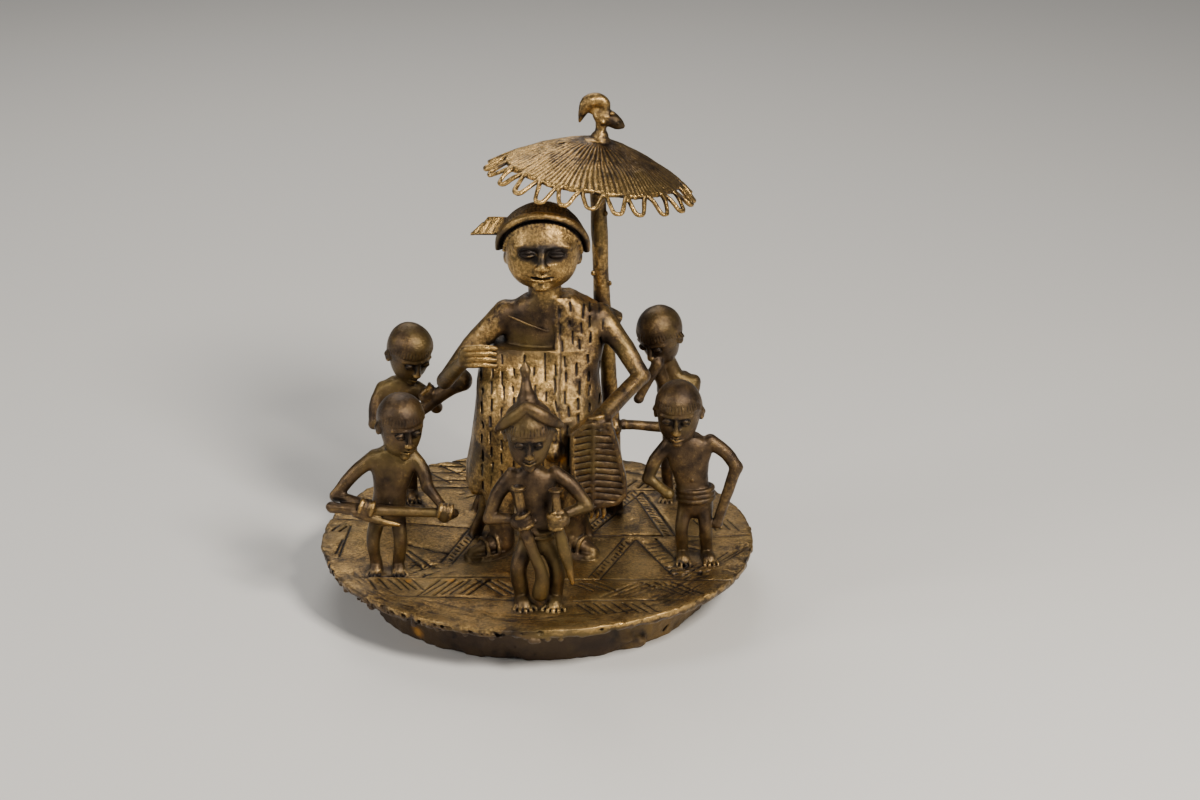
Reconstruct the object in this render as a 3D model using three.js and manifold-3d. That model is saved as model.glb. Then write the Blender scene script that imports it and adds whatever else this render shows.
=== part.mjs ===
// A lost-wax cast brass figure group: a chief sits in state on a stool under a state umbrella,
// with five attendants round the chief, all cast in one with a round engraved plate on a ring foot.
// Millimetres, +Z up. The origin is the middle of the foot's underside; the chief faces -Y.
import * as THREE from 'three';
import { mergeVertices } from 'three/addons/utils/BufferGeometryUtils.js';
import Module from 'manifold-3d';

const wasm = await Module();
wasm.setup();

// ---- driving sizes ----
const DECK = 20;                // height of the plate's top, where every figure stands
const PLATE_RADIUS = 80;
const PLATE_THICKNESS = 3;
const FOOT_TOP_RADIUS = 66;
const FOOT_BOTTOM_RADIUS = 62.5;
const FOOT_WALL = 5;
const PLATE_SIDES = 36;
const SUNK = 0.6;               // how far feet and posts run into the plate

const UMBRELLA_CENTRE = [20.4, 21, 154.8];
const UMBRELLA_LEAN = THREE.MathUtils.degToRad(8.5);
const UMBRELLA_NOD = THREE.MathUtils.degToRad(-3);
const CANOPY_RADIUS = 31.5;
const CANOPY_RISE = 12;
const LOOP_COUNT = 24;
const LOOP_REACH = 6.4;
const LOOP_DROP = 4.6;
const WIRE_RADIUS = 0.85;

const HEAD_SIZE = [17, 18.5, 23];       // an attendant's head: width, depth, height
const CHIEF_HEAD_SIZE = [28, 27, 30];
const CHIEF_HEAD = [2.4, 5.5, 131];
const CAP_RADIUS = 16.3;
const CAP_TILT = THREE.MathUtils.degToRad(60);

const ARM = [2.7, 2.2, 1.8];            // radii at shoulder, elbow and wrist
const LEG = [3.2, 2.6, 2.4, 2.5];       // radii at hip, knee, ankle and toes
const LIMB_SIDES = 5;
const WIDEST_MITRE = 1.7;               // how much a sharp bend may widen a limb
const BODY_SIDES = 8;

// ---- solids ----
const vector = (p) => new THREE.Vector3(...p);

function solid(geometry) {
  geometry.deleteAttribute('normal');
  geometry.deleteAttribute('uv');
  const merged = mergeVertices(geometry, 1e-4);
  return new wasm.Manifold(new wasm.Mesh({
    numProp: 3,
    vertProperties: new Float32Array(merged.attributes.position.array),
    triVerts: new Uint32Array(merged.index.array),
  }));
}

function join(parts) {
  return parts.reduce((whole, part) => whole.add(part));
}

// A closed body through rings. Each ring has a centre and two half-axis vectors, and may push its
// foremost point out by a share, as a nose does. A roundness below 1 squares the rings off.
function skin(rings, sides, roundness = 1) {
  const profile = [new THREE.Vector2(0, 0)];
  rings.forEach((ring, row) => profile.push(new THREE.Vector2(1, row)));
  profile.push(new THREE.Vector2(0, rings.length - 1));
  const geometry = new THREE.LatheGeometry(profile, sides);
  const position = geometry.attributes.position;
  const rows = profile.length;
  const squared = (t) => Math.sign(t) * Math.abs(t) ** roundness;
  for (let i = 0; i < position.count; i += 1) {
    const row = i % rows;
    const ring = rings[Math.min(Math.max(row - 1, 0), rings.length - 1)];
    const point = ring.centre.clone();
    const ridge = position.getZ(i) > 0.999 ? ring.ridge ?? 0 : 0;
    point.addScaledVector(ring.across, squared(position.getX(i)));
    point.addScaledVector(ring.deep, squared(position.getZ(i)) + ridge);
    position.setXYZ(i, point.x, point.y, point.z);
  }
  return solid(geometry);
}

// An upright body; each row is [z, middle x, middle y, half width, half depth, ridge].
function upright(rows, sides = BODY_SIDES, roundness = 1) {
  const rings = rows.map(([z, x, y, halfWidth, halfDepth, ridge]) => ({
    centre: new THREE.Vector3(x, y, z),
    across: new THREE.Vector3(halfWidth, 0, 0),
    deep: new THREE.Vector3(0, -halfDepth, 0),
    ridge,
  }));
  return skin(rings, sides, roundness);
}

// A limb, post or wire through points, with a radius at each. It is domed at its start and end
// unless told otherwise: an end that runs into another body stays blunt.
function limb(points, radii, { sides = LIMB_SIDES, domes = 'both' } = {}) {
  const spots = points.map(vector);
  const last = spots.length - 1;
  const tangents = spots.map((spot, i) => {
    const before = spots[Math.max(i - 1, 0)];
    const after = spots[Math.min(i + 1, last)];
    return after.clone().sub(before).normalize();
  });
  // Each ring's side direction is carried on from the ring before, so that the limb never twists.
  let side = Math.abs(tangents[0].z) > 0.8 ? new THREE.Vector3(1, 0, 0) : new THREE.Vector3(0, 0, 1);
  const carried = tangents.map((tangent) => {
    side = side.clone().addScaledVector(tangent, -side.dot(tangent)).normalize();
    return side;
  });
  const ring = (spot, i, radius) => {
    const across = carried[i].clone().multiplyScalar(radius);
    const deep = new THREE.Vector3().crossVectors(carried[i], tangents[i]).multiplyScalar(radius);
    // At a bend the ring widens in the bend's plane, as a mitred joint does.
    if (i > 0 && i < last) {
      const before = spots[i].clone().sub(spots[i - 1]).normalize();
      const share = Math.max(before.dot(tangents[i]), 1 / WIDEST_MITRE);
      const outward = before.addScaledVector(tangents[i], -before.dot(tangents[i])).normalize();
      for (const axis of [across, deep]) axis.addScaledVector(outward, (1 / share - 1) * axis.dot(outward));
    }
    return { centre: spot, across, deep };
  };
  const rings = spots.map((spot, i) => ring(spot, i, radii[i]));
  const dome = (i, way) => {
    const spot = spots[i].clone().addScaledVector(tangents[i], 0.7 * way * radii[i]);
    return ring(spot, i, 0.6 * radii[i]);
  };
  if (domes === 'both' || domes === 'start') rings.unshift(dome(0, -1));
  if (domes === 'both' || domes === 'end') rings.push(dome(last, 1));
  return skin(rings, sides);
}

// An ellipsoid with three half sizes, turned about Z and then placed.
function lump(centre, half, sides = 5, rows = 3, yaw = 0) {
  const geometry = new THREE.SphereGeometry(1, sides, rows);
  geometry.rotateX(Math.PI / 2);
  geometry.scale(...half);
  geometry.rotateZ(yaw);
  geometry.translate(...centre);
  return solid(geometry);
}

function block(low, high) {
  const size = high.map((value, i) => value - low[i]);
  const geometry = new THREE.BoxGeometry(...size);
  geometry.translate(...low.map((value, i) => value + size[i] / 2));
  return solid(geometry);
}

// A plate drawn as an outline in X and Z, from the front face back.
function standingPlate(outline, front, thickness) {
  const shape = new THREE.Shape(outline.map(([x, z]) => new THREE.Vector2(x, z)));
  const geometry = new THREE.ExtrudeGeometry(shape, { depth: thickness, bevelEnabled: false });
  geometry.rotateX(Math.PI / 2);
  geometry.translate(0, front + thickness, 0);
  return solid(geometry);
}

// A body moved by a Matrix4.
function placed(body, matrix) {
  return body.transform(matrix.elements);
}

function turned(centre, yaw, pitch = 0, roll = 0) {
  const turn = new THREE.Euler(pitch, roll, yaw, 'ZYX');
  return new THREE.Matrix4().makeRotationFromEuler(turn).setPosition(...centre);
}

// ---- base ----
function base() {
  const under = DECK - PLATE_THICKNESS;
  const inside = FOOT_BOTTOM_RADIUS - FOOT_WALL;
  const profile = [
    [0, under], [inside, under], [inside + 0.4, 0], [FOOT_BOTTOM_RADIUS, 0],
    [FOOT_TOP_RADIUS - 1, under * 0.6], [FOOT_TOP_RADIUS, under], [PLATE_RADIUS - 1.6, under],
    [PLATE_RADIUS, under + 1.4], [PLATE_RADIUS - 0.5, DECK], [0, DECK],
  ];
  const geometry = new THREE.LatheGeometry(profile.map((p) => new THREE.Vector2(...p)), PLATE_SIDES);
  geometry.rotateX(Math.PI / 2);
  return solid(geometry);
}

// ---- heads ----
// Rings of a head from chin to crown: height, half width, half depth and forward shift as shares of
// the head's own, then the nose's ridge. The hair stands proud of the brow in a ledge.
const HEAD_RINGS = [
  [-0.5, 0.34, 0.28, -0.42, 0], [-0.38, 0.6, 0.5, -0.32, 0.1], [-0.2, 0.84, 0.74, -0.14, 0.02],
  [-0.16, 0.87, 0.77, -0.12, 0.42], [0.07, 0.95, 0.92, -0.02, 0.12], [0.15, 0.95, 0.94, 0, 0],
  [0.18, 1, 1, 0.02, 0], [0.36, 0.82, 0.86, 0.06, 0], [0.48, 0.4, 0.44, 0.08, 0],
];

function head(centre, yaw, pitch, [width, depth, height] = HEAD_SIZE) {
  const halfWidth = width / 2;
  const halfDepth = depth / 2;
  const sized = (x, y, z) => [x * halfWidth, y * halfDepth, z * height];
  const parts = [upright(HEAD_RINGS.map(([z, wide, deep, shift, ridge]) => (
    [z * height, 0, shift * halfDepth, wide * halfWidth, deep * halfDepth, ridge])))];
  for (const side of [-1, 1]) {
    parts.push(lump(sized(side * 0.4, -0.8, 0.02), sized(0.26, 0.14, 0.055)));
    parts.push(lump(sized(side * 0.96, 0.05, -0.03), sized(0.2, 0.2, 0.12)));
  }
  return placed(join(parts), turned(centre, yaw, pitch));
}

// ---- attendants ----
// A standing attendant. Every place is given outright, so that each stands in a pose of its own.
// The belt is a stack of rolls round the waist.
function attendant({ hips, chest, shoulders, arms, legs, face, rolls = 0 }) {
  const belt = [];
  for (let row = 0; row < rolls; row += 1) {
    const z = hips[2] + 2.2 * row;
    belt.push([z + 0.2, hips[0], hips[1], 6.3, 4.7], [z + 1.2, hips[0], hips[1], 7.7, 5.9]);
  }
  const waist = Math.max(hips[2] + 2.2 * rolls, (hips[2] + chest[2]) / 2);
  const parts = [
    upright([
      [hips[2] - 5, hips[0], hips[1], 4.2, 3.4], [hips[2] - 0.4, hips[0], hips[1], 6.8, 5], ...belt,
      [waist + 1, (hips[0] + chest[0]) / 2, (hips[1] + chest[1]) / 2, 5.6, 4],
      [chest[2], chest[0], chest[1], 7.4, 4.6], [chest[2] + 4.5, chest[0], chest[1], 7.2, 4.2],
      [chest[2] + 7.5, chest[0], chest[1], 4, 3.4],
    ]),
    limb([[chest[0], chest[1], chest[2] + 4], [face.at[0], face.at[1] + 1.5, face.at[2] - 6]],
      [3.6, 3.8], { domes: 'none' }),
    head(face.at, face.yaw, face.pitch),
  ];
  arms.forEach(([elbow, hand, fist], i) => {
    const towards = vector(hand).sub(vector(elbow)).setLength(fist);
    const wrist = vector(hand).sub(towards).toArray();
    parts.push(limb([shoulders[i], elbow, wrist, hand], [...ARM, fist]));
  });
  legs.forEach(([knee, ankle, toe], i) => {
    const hip = [hips[0] + (i ? 3.4 : -3.4), hips[1], hips[2] - 1];
    parts.push(limb([hip, knee, [ankle[0], ankle[1] + 0.6, DECK + 1.6], [toe[0], toe[1], DECK + 0.4]], LEG,
      { domes: 'end' }));
  });
  return join(parts);
}

function swordBearer() {
  const body = attendant({
    hips: [1.4, -55, 45], chest: [-0.4, -55, 64], rolls: 2,
    shoulders: [[-7.6, -55, 68.6], [7.6, -55, 69.4]],
    arms: [
      [[-15.6, -56, 52], [-5.4, -62, 54.6], 3.6],
      [[18.4, -57, 57.4], [8, -62, 55], 3.3],
    ],
    legs: [
      [[-5.6, -57.5, 34], [-4.4, -55.5, DECK], [-3.4, -62.6]],
      [[7.8, -57.5, 34], [7.2, -55.5, DECK], [6.8, -62.6]],
    ],
    face: { at: [-1.2, -56, 83.4], yaw: 0, pitch: 0.12 },
  });
  const sword = (top, grip, blade, widths) => [
    limb([top, [top[0], top[1], top[2] - 1.6]], [3, 3], { sides: 6, domes: 'none' }),
    limb([top, grip], [2.2, 2.2], { sides: 5, domes: 'none' }),
    limb([grip, ...blade], widths, { sides: 4, domes: 'end' }),
  ];
  const headdress = [
    limb([
      [-1.6, -55.6, 92.4], [-2.2, -55.2, 97], [-2.5, -54.8, 101], [-2.5, -54.6, 104.6], [-2.5, -54.6, 107],
      [-2.6, -54.6, 109.6],
    ], [6.6, 3.8, 1.9, 1.5, 2.1, 1], { domes: 'none' }),
    limb([[-1.6, -57, 96], [-7.4, -58, 93.6], [-10.6, -58, 90], [-12.2, -57.6, 86.4]], [2.6, 2.2, 1.7, 0.9]),
    limb([[-1.4, -57, 96], [4.6, -58, 94.6], [7.8, -58, 91.6], [9.4, -57.6, 88.6]], [2.6, 2.4, 1.9, 1.2]),
  ];
  return join([
    body, ...headdress,
    ...sword([-5.2, -63, 67.4], [-3.2, -63, 52], [[-0.4, -63, 42.7], [2.8, -62.4, 33], [2.2, -61.6, 25.6]],
      [1.9, 1.9, 2.4, 3]),
    ...sword([7.6, -63, 66.6], [8.6, -63, 52], [[10.8, -63, 42], [13.6, -62.4, 31]], [2, 2.2, 1.1]),
  ]);
}

function gunBearer() {
  const body = attendant({
    hips: [-53, -28, 44], chest: [-51, -27.5, 60],
    shoulders: [[-57.4, -27.5, 63.8], [-44, -27, 64.4]],
    arms: [
      [[-71, -31, 49.6], [-60, -35, 48.2], 3.2],
      [[-38.4, -31, 53], [-32, -35, 46], 3.3],
    ],
    legs: [
      [[-58.4, -31, 32], [-57.6, -29.4, DECK], [-58.2, -33.4]],
      [[-48.6, -31, 32], [-49.8, -29.4, DECK], [-49, -33.4]],
    ],
    face: { at: [-47.6, -29, 76.4], yaw: 0.45, pitch: 0.18 },
  });
  return join([
    body,
    limb([[-72.6, -35.6, 47], [-50, -36, 46], [-28.8, -36.2, 45.2]], [2.4, 2.1, 1.8],
      { sides: 6, domes: 'none' }),
    limb([[-62, -36.6, 44.6], [-49, -36.6, 41.4]], [1.9, 0.9], { domes: 'none' }),
    lump([-60, -25, 49.6], [3, 3, 3.4]),
  ]);
}

function handOnHipAttendant() {
  return attendant({
    hips: [57.4, -17, 42], chest: [55, -17, 60.5], rolls: 3,
    shoulders: [[47.4, -17, 64.4], [62.8, -17, 65.4]],
    arms: [
      [[40.4, -18.6, 51], [47.6, -23, 46.8], 3],
      [[72, -18.6, 55.6], [65.4, -20, 33], 2],
    ],
    legs: [
      [[52.6, -20, 32], [53, -17.4, DECK], [53.2, -24.6]],
      [[61.2, -20, 32], [61.8, -17.4, DECK], [63, -24.6]],
    ],
    face: { at: [51, -20, 77.6], yaw: -0.12, pitch: 0.14 },
  });
}

function hornBlower() {
  const body = attendant({
    hips: [-53, 37, 45], chest: [-52.6, 37, 61.4],
    shoulders: [[-59, 36.6, 64.6], [-46, 36, 65]],
    arms: [
      [[-62, 31, 52], [-49, 26.6, 56], 3],
      [[-38.6, 33, 58], [-41, 27, 67], 3.6],
    ],
    legs: [
      [[-57.6, 34.6, 33], [-57, 37.6, DECK], [-58, 31]],
      [[-48.6, 34.6, 33], [-49, 37.6, DECK], [-48, 31]],
    ],
    face: { at: [-48.4, 34.6, 79.6], yaw: 0.5, pitch: 0.42 },
  });
  const horn = limb([[-50.4, 27.4, 53.4], [-41.6, 26, 61.6], [-33, 24.6, 69.4], [-28.6, 23.8, 73]],
    [1.8, 2.6, 3.4, 4.8], { sides: 7, domes: 'none' });
  return join([body, horn]);
}

function umbrellaBearer() {
  return attendant({
    hips: [53, 37, 46], chest: [52.4, 36.4, 63.6],
    shoulders: [[46.6, 35, 68], [58.6, 36.4, 67.6]],
    arms: [
      [[44.4, 28.4, 77.6], [37.4, 26.2, 63.8], 2.8],
      [[50.4, 31, 50.6], [31.6, 24.2, 54.6], 3.2],
    ],
    legs: [
      [[48.6, 34.6, 33], [49, 37.6, DECK], [48, 31]],
      [[57.4, 34.6, 33], [57, 37.6, DECK], [58, 31]],
    ],
    face: { at: [45.6, 34, 87], yaw: -0.62, pitch: 0.5 },
  });
}

// ---- chief ----
function stool() {
  const parts = [
    upright([[37.6, -2, 12, 19, 13], [42, -2, 12, 23, 16]], 10, 0.7),
  ];
  for (const side of [-1, 1]) {
    for (const y of [1, 23]) {
      parts.push(limb([[-2.6 + side * 21, y, DECK], [-2.4 + side * 17.4, y, 30], [-2.4 + side * 16, y, 40]],
        [2, 2.3, 2], { domes: 'none' }));
    }
  }
  return join(parts);
}

// A sandalled foot; the sole is a pointed oval that turns outward.
function sandal(heel, toe) {
  const along = new THREE.Vector2(toe[0] - heel[0], toe[1] - heel[1]);
  const length = along.length();
  const shape = new THREE.Shape();
  shape.moveTo(0, 0);
  shape.quadraticCurveTo(length * 0.1, -4.6, length * 0.55, -5.4);
  shape.quadraticCurveTo(length * 0.85, -5, length, 0);
  shape.quadraticCurveTo(length * 0.85, 5, length * 0.55, 5.4);
  shape.quadraticCurveTo(length * 0.1, 4.6, 0, 0);
  const geometry = new THREE.ExtrudeGeometry(shape, { depth: 2.6, bevelEnabled: false, curveSegments: 2 });
  geometry.rotateZ(along.angle());
  geometry.translate(heel[0], heel[1], DECK - SUNK);
  const share = (t) => [heel[0] + t * along.x, heel[1] + t * along.y];
  return join([
    solid(geometry),
    limb([[...share(0.2), DECK + 4.4], [...share(0.8), DECK + 2.2]], [4.2, 2.8], { domes: 'end' }),
  ]);
}

function gown() {
  const skirt = upright([
    [41, -0.8, 5, 24.8, 19], [43.5, -0.8, 5, 25.2, 19.6], [60, 0.2, 4.8, 24, 19.4],
    [73, 0.4, 6, 22.8, 17.4], [84, 0.2, 7.6, 21.4, 13.8], [91, 2.6, 8.8, 19.6, 11.6],
    [94, 3.6, 9, 18.4, 11],
  ], 14, 0.86);
  const torso = upright([
    [91, 5, 9.8, 15.6, 9], [100, 5.2, 10, 17.6, 8.8], [107, 5, 10, 16.4, 8], [111.6, 3.6, 9, 8.4, 6],
  ], 10);
  const shawl = upright([
    [91, 6, 9.6, 18.8, 11.4], [100, 6.2, 10, 19.6, 10.6], [107.4, 5.8, 10, 17.6, 9.4],
    [112.4, 4.6, 9.2, 9.6, 7.4],
  ], 12).intersect(block([6, -10, 60], [40, 30, 120]));
  return join([skirt, torso, shawl]);
}

// The chief's fan: an outline with ribs across its front and back.
function fan() {
  const outline = [
    [12.6, 70], [17.6, 73.4], [26.6, 74.2], [32, 52], [32, 46], [29.4, 43.2], [18, 40.6], [14.6, 46.5],
    [12.8, 56],
  ];
  const plate = standingPlate(outline, -24, 7);
  const ribs = 11;
  const bottom = 40;
  const pitch = 35 / ribs;
  const edge = (out) => {
    const spots = [];
    for (let i = 0; i <= ribs; i += 1) {
      spots.push([out, bottom + i * pitch]);
      if (i < ribs) spots.push([out * 0.84, bottom + (i + 0.84) * pitch]);
    }
    return spots;
  };
  const section = [...edge(-2.6).reverse(), ...edge(0.6)];
  const shape = new THREE.Shape(section.map(([y, z]) => new THREE.Vector2(y, z)));
  const geometry = new THREE.ExtrudeGeometry(shape, { depth: 24, bevelEnabled: false });
  geometry.rotateX(Math.PI / 2);
  geometry.rotateZ(Math.PI / 2);
  geometry.translate(10, -19.6, 0);
  return plate.intersect(solid(geometry));
}

function cap() {
  const centre = CHIEF_HEAD;
  const dome = lump(centre, [CAP_RADIUS, CAP_RADIUS, CAP_RADIUS], 12, 8);
  const behindRim = block([-30, -30, 0], [30, 30, 30]);
  const rimFrame = turned(centre, 0, -CAP_TILT);
  const aboveEars = block([-30, -30, 126.5], [40, 50, 160]);
  const shell = dome.intersect(placed(behindRim, rimFrame)).intersect(aboveEars);
  const rimRadius = CAP_RADIUS - 0.2;
  const spots = [];
  for (let i = 0; i <= 8; i += 1) {
    const angle = Math.PI * (-0.04 + 1.08 * i / 8);
    const spot = new THREE.Vector3(rimRadius * Math.cos(angle), -rimRadius * Math.sin(angle), 0);
    spot.applyMatrix4(rimFrame);
    spots.push(spot.toArray());
  }
  const rim = limb(spots, spots.map(() => 1.7), { sides: 4, domes: 'none' });
  const flap = standingPlate([[-12, -2.6], [-1.2, -2.6], [3, 3], [-5.4, 3.6]], -1.2, 2.4);
  return join([shell, rim, placed(flap, turned([-11.4, 9, 137], 0, -0.6))]);
}

function chief() {
  const openHand = [0, 1, 2, 3].map((i) => (
    limb([[-24, -13.6, 99 - 2.1 * i], [-14, -14.2, 99.4 - 2.2 * i]], [1.4, 1.2],
      { sides: 4, domes: 'none' })));
  const parts = [
    stool(), gown(), fan(), cap(),
    head(CHIEF_HEAD, 0, -0.08, CHIEF_HEAD_SIZE),
    limb([[3.4, 8.6, 108], [2.6, 8, 120]], [6.4, 6], { sides: 6, domes: 'none' }),
    limb([[-10.4, 9.4, 105], [-23, 5, 93], [-33.2, 0, 81.6]], [4.6, 3.8, 3], { sides: 6 }),
    limb([[-33, 0, 82], [-24.4, -12.4, 95.4]], [3.1, 2.6], { sides: 6, domes: 'none' }),
    lump([-24.6, -12.6, 95.8], [3, 2.6, 4.2]),
    ...openHand,
    limb([[22.4, 9.4, 104], [31.4, 5, 93], [38, 0, 83.6]], [4.6, 3.8, 3.1], { sides: 6 }),
    limb([[38, 0, 83.8], [23.4, -18, 74.6]], [3.2, 3], { sides: 6, domes: 'none' }),
    lump([22.6, -19.4, 73.4], [4.6, 3, 3]),
    lump([28, 14, 101.6], [3, 3, 3.6]),
    lump([6, -14, 60], [4.4, 3.6, 4.6]),
  ];
  for (const [side, knee, heel, toe] of [
    [-1, [-14, -9, 50], [-8.6, -11.5], [-26, -22.5]],
    [1, [14, -9, 50], [9.4, -10.5], [22, -21]],
  ]) {
    const ankle = [heel[0] + 4 * side, heel[1] - 3, DECK + 4];
    parts.push(limb([knee, ankle], [6.4, 4.4], { sides: 6, domes: 'none' }));
    parts.push(sandal(heel, toe));
  }
  return join(parts);
}

// ---- umbrella ----
function umbrella() {
  const pole = limb([[28.4, 23.6, DECK - SUNK], [27.2, 23.2, 59], [26, 22.4, 78], [23.7, 21.6, 105],
    [22.4, 21.2, 140], [21.6, 21, 166]], [3.4, 3.2, 3.2, 3.2, 3.1, 2.6], { sides: 6, domes: 'none' });
  const profile = [
    [0, 9], [16, 4.6], [CANOPY_RADIUS - 0.6, -1.7], [CANOPY_RADIUS, 0.5], [22, 5.2], [11, 9.6],
    [3.2, CANOPY_RISE], [2.5, CANOPY_RISE + 5], [0, CANOPY_RISE + 5],
  ];
  const points = profile.map((p) => new THREE.Vector2(...p));
  const canopy = new THREE.LatheGeometry(points, LOOP_COUNT);
  canopy.rotateX(Math.PI / 2);
  const parts = [solid(canopy)];
  const step = 2 * Math.PI / LOOP_COUNT;
  for (let i = 0; i < LOOP_COUNT; i += 1) {
    const sway = 0.16 * Math.sin(2.4 * i);
    const reach = CANOPY_RADIUS + LOOP_REACH + 0.7 * Math.sin(1.7 * i);
    const drop = -LOOP_DROP - 0.6 * Math.cos(2.9 * i);
    const spot = (turn, radius, z) => {
      const angle = (i + turn) * step;
      return [radius * Math.cos(angle), radius * Math.sin(angle), z];
    };
    parts.push(limb([
      spot(-0.32, CANOPY_RADIUS - 2, 0.1), spot(sway - 0.18, reach - 0.5, drop),
      spot(sway + 0.18, reach - 0.5, drop), spot(0.32, CANOPY_RADIUS - 2, 0.1),
    ], Array(4).fill(WIRE_RADIUS), { sides: 3, domes: 'none' }));
  }
  const top = placed(join(parts), turned(UMBRELLA_CENTRE, 0, UMBRELLA_NOD, UMBRELLA_LEAN));
  return join([pole, top, bird()]);
}

function bird() {
  return join([
    limb([[22.6, 21, 175.6], [26, 21, 174.4], [29.4, 21, 172.4], [31.4, 21, 171]], [2, 2.9, 2.2, 1]),
    limb([[24, 21, 175], [23.4, 21, 179.6], [20.4, 21, 182.2], [16.8, 21, 180.4], [15.6, 21, 173.6]],
      [1.9, 1.7, 1.7, 1.8, 0.7]),
    lump([26.6, 21, 177], [1.2, 1, 1]),
    limb([[23, 21, 169], [23.6, 21, 175]], [2.2, 1.6], { domes: 'none' }),
  ]);
}

// ---- the casting ----
function mesh(name, body, colour, roughness, metalness) {
  const result = body.getMesh();
  const geometry = new THREE.BufferGeometry();
  geometry.setAttribute('position', new THREE.BufferAttribute(new Float32Array(result.vertProperties), 3));
  geometry.setIndex(new THREE.BufferAttribute(new Uint32Array(result.triVerts), 1));
  geometry.computeVertexNormals();
  const material = new THREE.MeshStandardMaterial({ color: colour, roughness, metalness });
  const part = new THREE.Mesh(geometry, material);
  part.name = name;
  return part;
}

const casting = join([
  base(), chief(), umbrella(), swordBearer(), gunBearer(), handOnHipAttendant(), hornBlower(),
  umbrellaBearer(),
]);

const group = new THREE.Group();
group.add(mesh('figure_group', casting, 0x6b5328, 0.5, 0.85));
export default group;
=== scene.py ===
import math

import bmesh
import bpy
import numpy as np
import openvdb
from mathutils import Euler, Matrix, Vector


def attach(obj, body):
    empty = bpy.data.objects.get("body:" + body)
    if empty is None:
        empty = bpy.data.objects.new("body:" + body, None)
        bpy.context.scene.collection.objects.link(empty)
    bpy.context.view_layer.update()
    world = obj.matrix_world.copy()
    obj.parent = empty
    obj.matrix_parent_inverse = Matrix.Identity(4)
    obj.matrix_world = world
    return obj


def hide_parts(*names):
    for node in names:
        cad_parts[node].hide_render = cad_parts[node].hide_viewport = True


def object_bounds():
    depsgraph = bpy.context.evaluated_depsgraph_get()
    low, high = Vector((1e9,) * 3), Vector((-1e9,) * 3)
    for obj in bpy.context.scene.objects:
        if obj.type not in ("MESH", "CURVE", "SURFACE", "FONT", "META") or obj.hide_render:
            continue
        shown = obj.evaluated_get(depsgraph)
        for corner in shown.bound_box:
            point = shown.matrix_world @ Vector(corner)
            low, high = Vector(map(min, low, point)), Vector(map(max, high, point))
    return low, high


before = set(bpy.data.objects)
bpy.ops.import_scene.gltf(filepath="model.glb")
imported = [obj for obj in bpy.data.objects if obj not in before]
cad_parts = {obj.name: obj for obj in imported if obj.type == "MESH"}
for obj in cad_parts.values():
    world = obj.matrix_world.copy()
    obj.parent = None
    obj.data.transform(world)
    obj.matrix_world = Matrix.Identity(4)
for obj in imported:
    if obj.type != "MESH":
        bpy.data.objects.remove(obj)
cad_low, cad_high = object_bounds()

MM = 0.001
VOXEL = 0.31
TRIANGLES = 196000
FAR = 9.0  # the field's value where nothing is near
SEED = 11
BLOCK = ((-81, 81), (-81, 81), (-1.5, 185))  # the clay's ends along X, Y and Z
LATTICE = 37  # random values along a side of the noise's block
CAMERA_PLACE = (0.02298, -0.95664, 0.45573)
CAMERA_TILT = math.radians(68.25)

DECK = 20.0
PLATE_RADIUS = 79.9
PLATE_THICKNESS = 3.0
FOOT_TOP_RADIUS = 66.0
FOOT_BOTTOM_RADIUS = 62.5
FOOT_WALL = 5.0

UMBRELLA_CENTRE = (20.4, 21.0, 154.8)
UMBRELLA_LEAN = math.radians(8.5)
UMBRELLA_NOD = math.radians(-3)
CANOPY_RADIUS = 31.5
CANOPY_RISE = 12.0
LOOP_COUNT = 24
LOOP_REACH = 6.4
LOOP_DROP = 4.6
WIRE_RADIUS = 0.8

HEAD_SIZE = (17.0, 18.5, 23.0)
CHIEF_HEAD_SIZE = (28.5, 27.0, 30.0)
CHIEF_HEAD = (2.4, 5.5, 131.0)
CAP_RADIUS = 16.3
CAP_TILT = math.radians(60)


# ---- the clay ----
def vec(values):
    return np.array(values, float)


def unit(values):
    """Values held between 0 and 1."""
    return np.clip(values, 0, 1)


def turning(yaw, pitch=0.0, roll=0.0):
    return np.array(Euler((pitch, roll, yaw), "XYZ").to_matrix(), np.float32)


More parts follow.
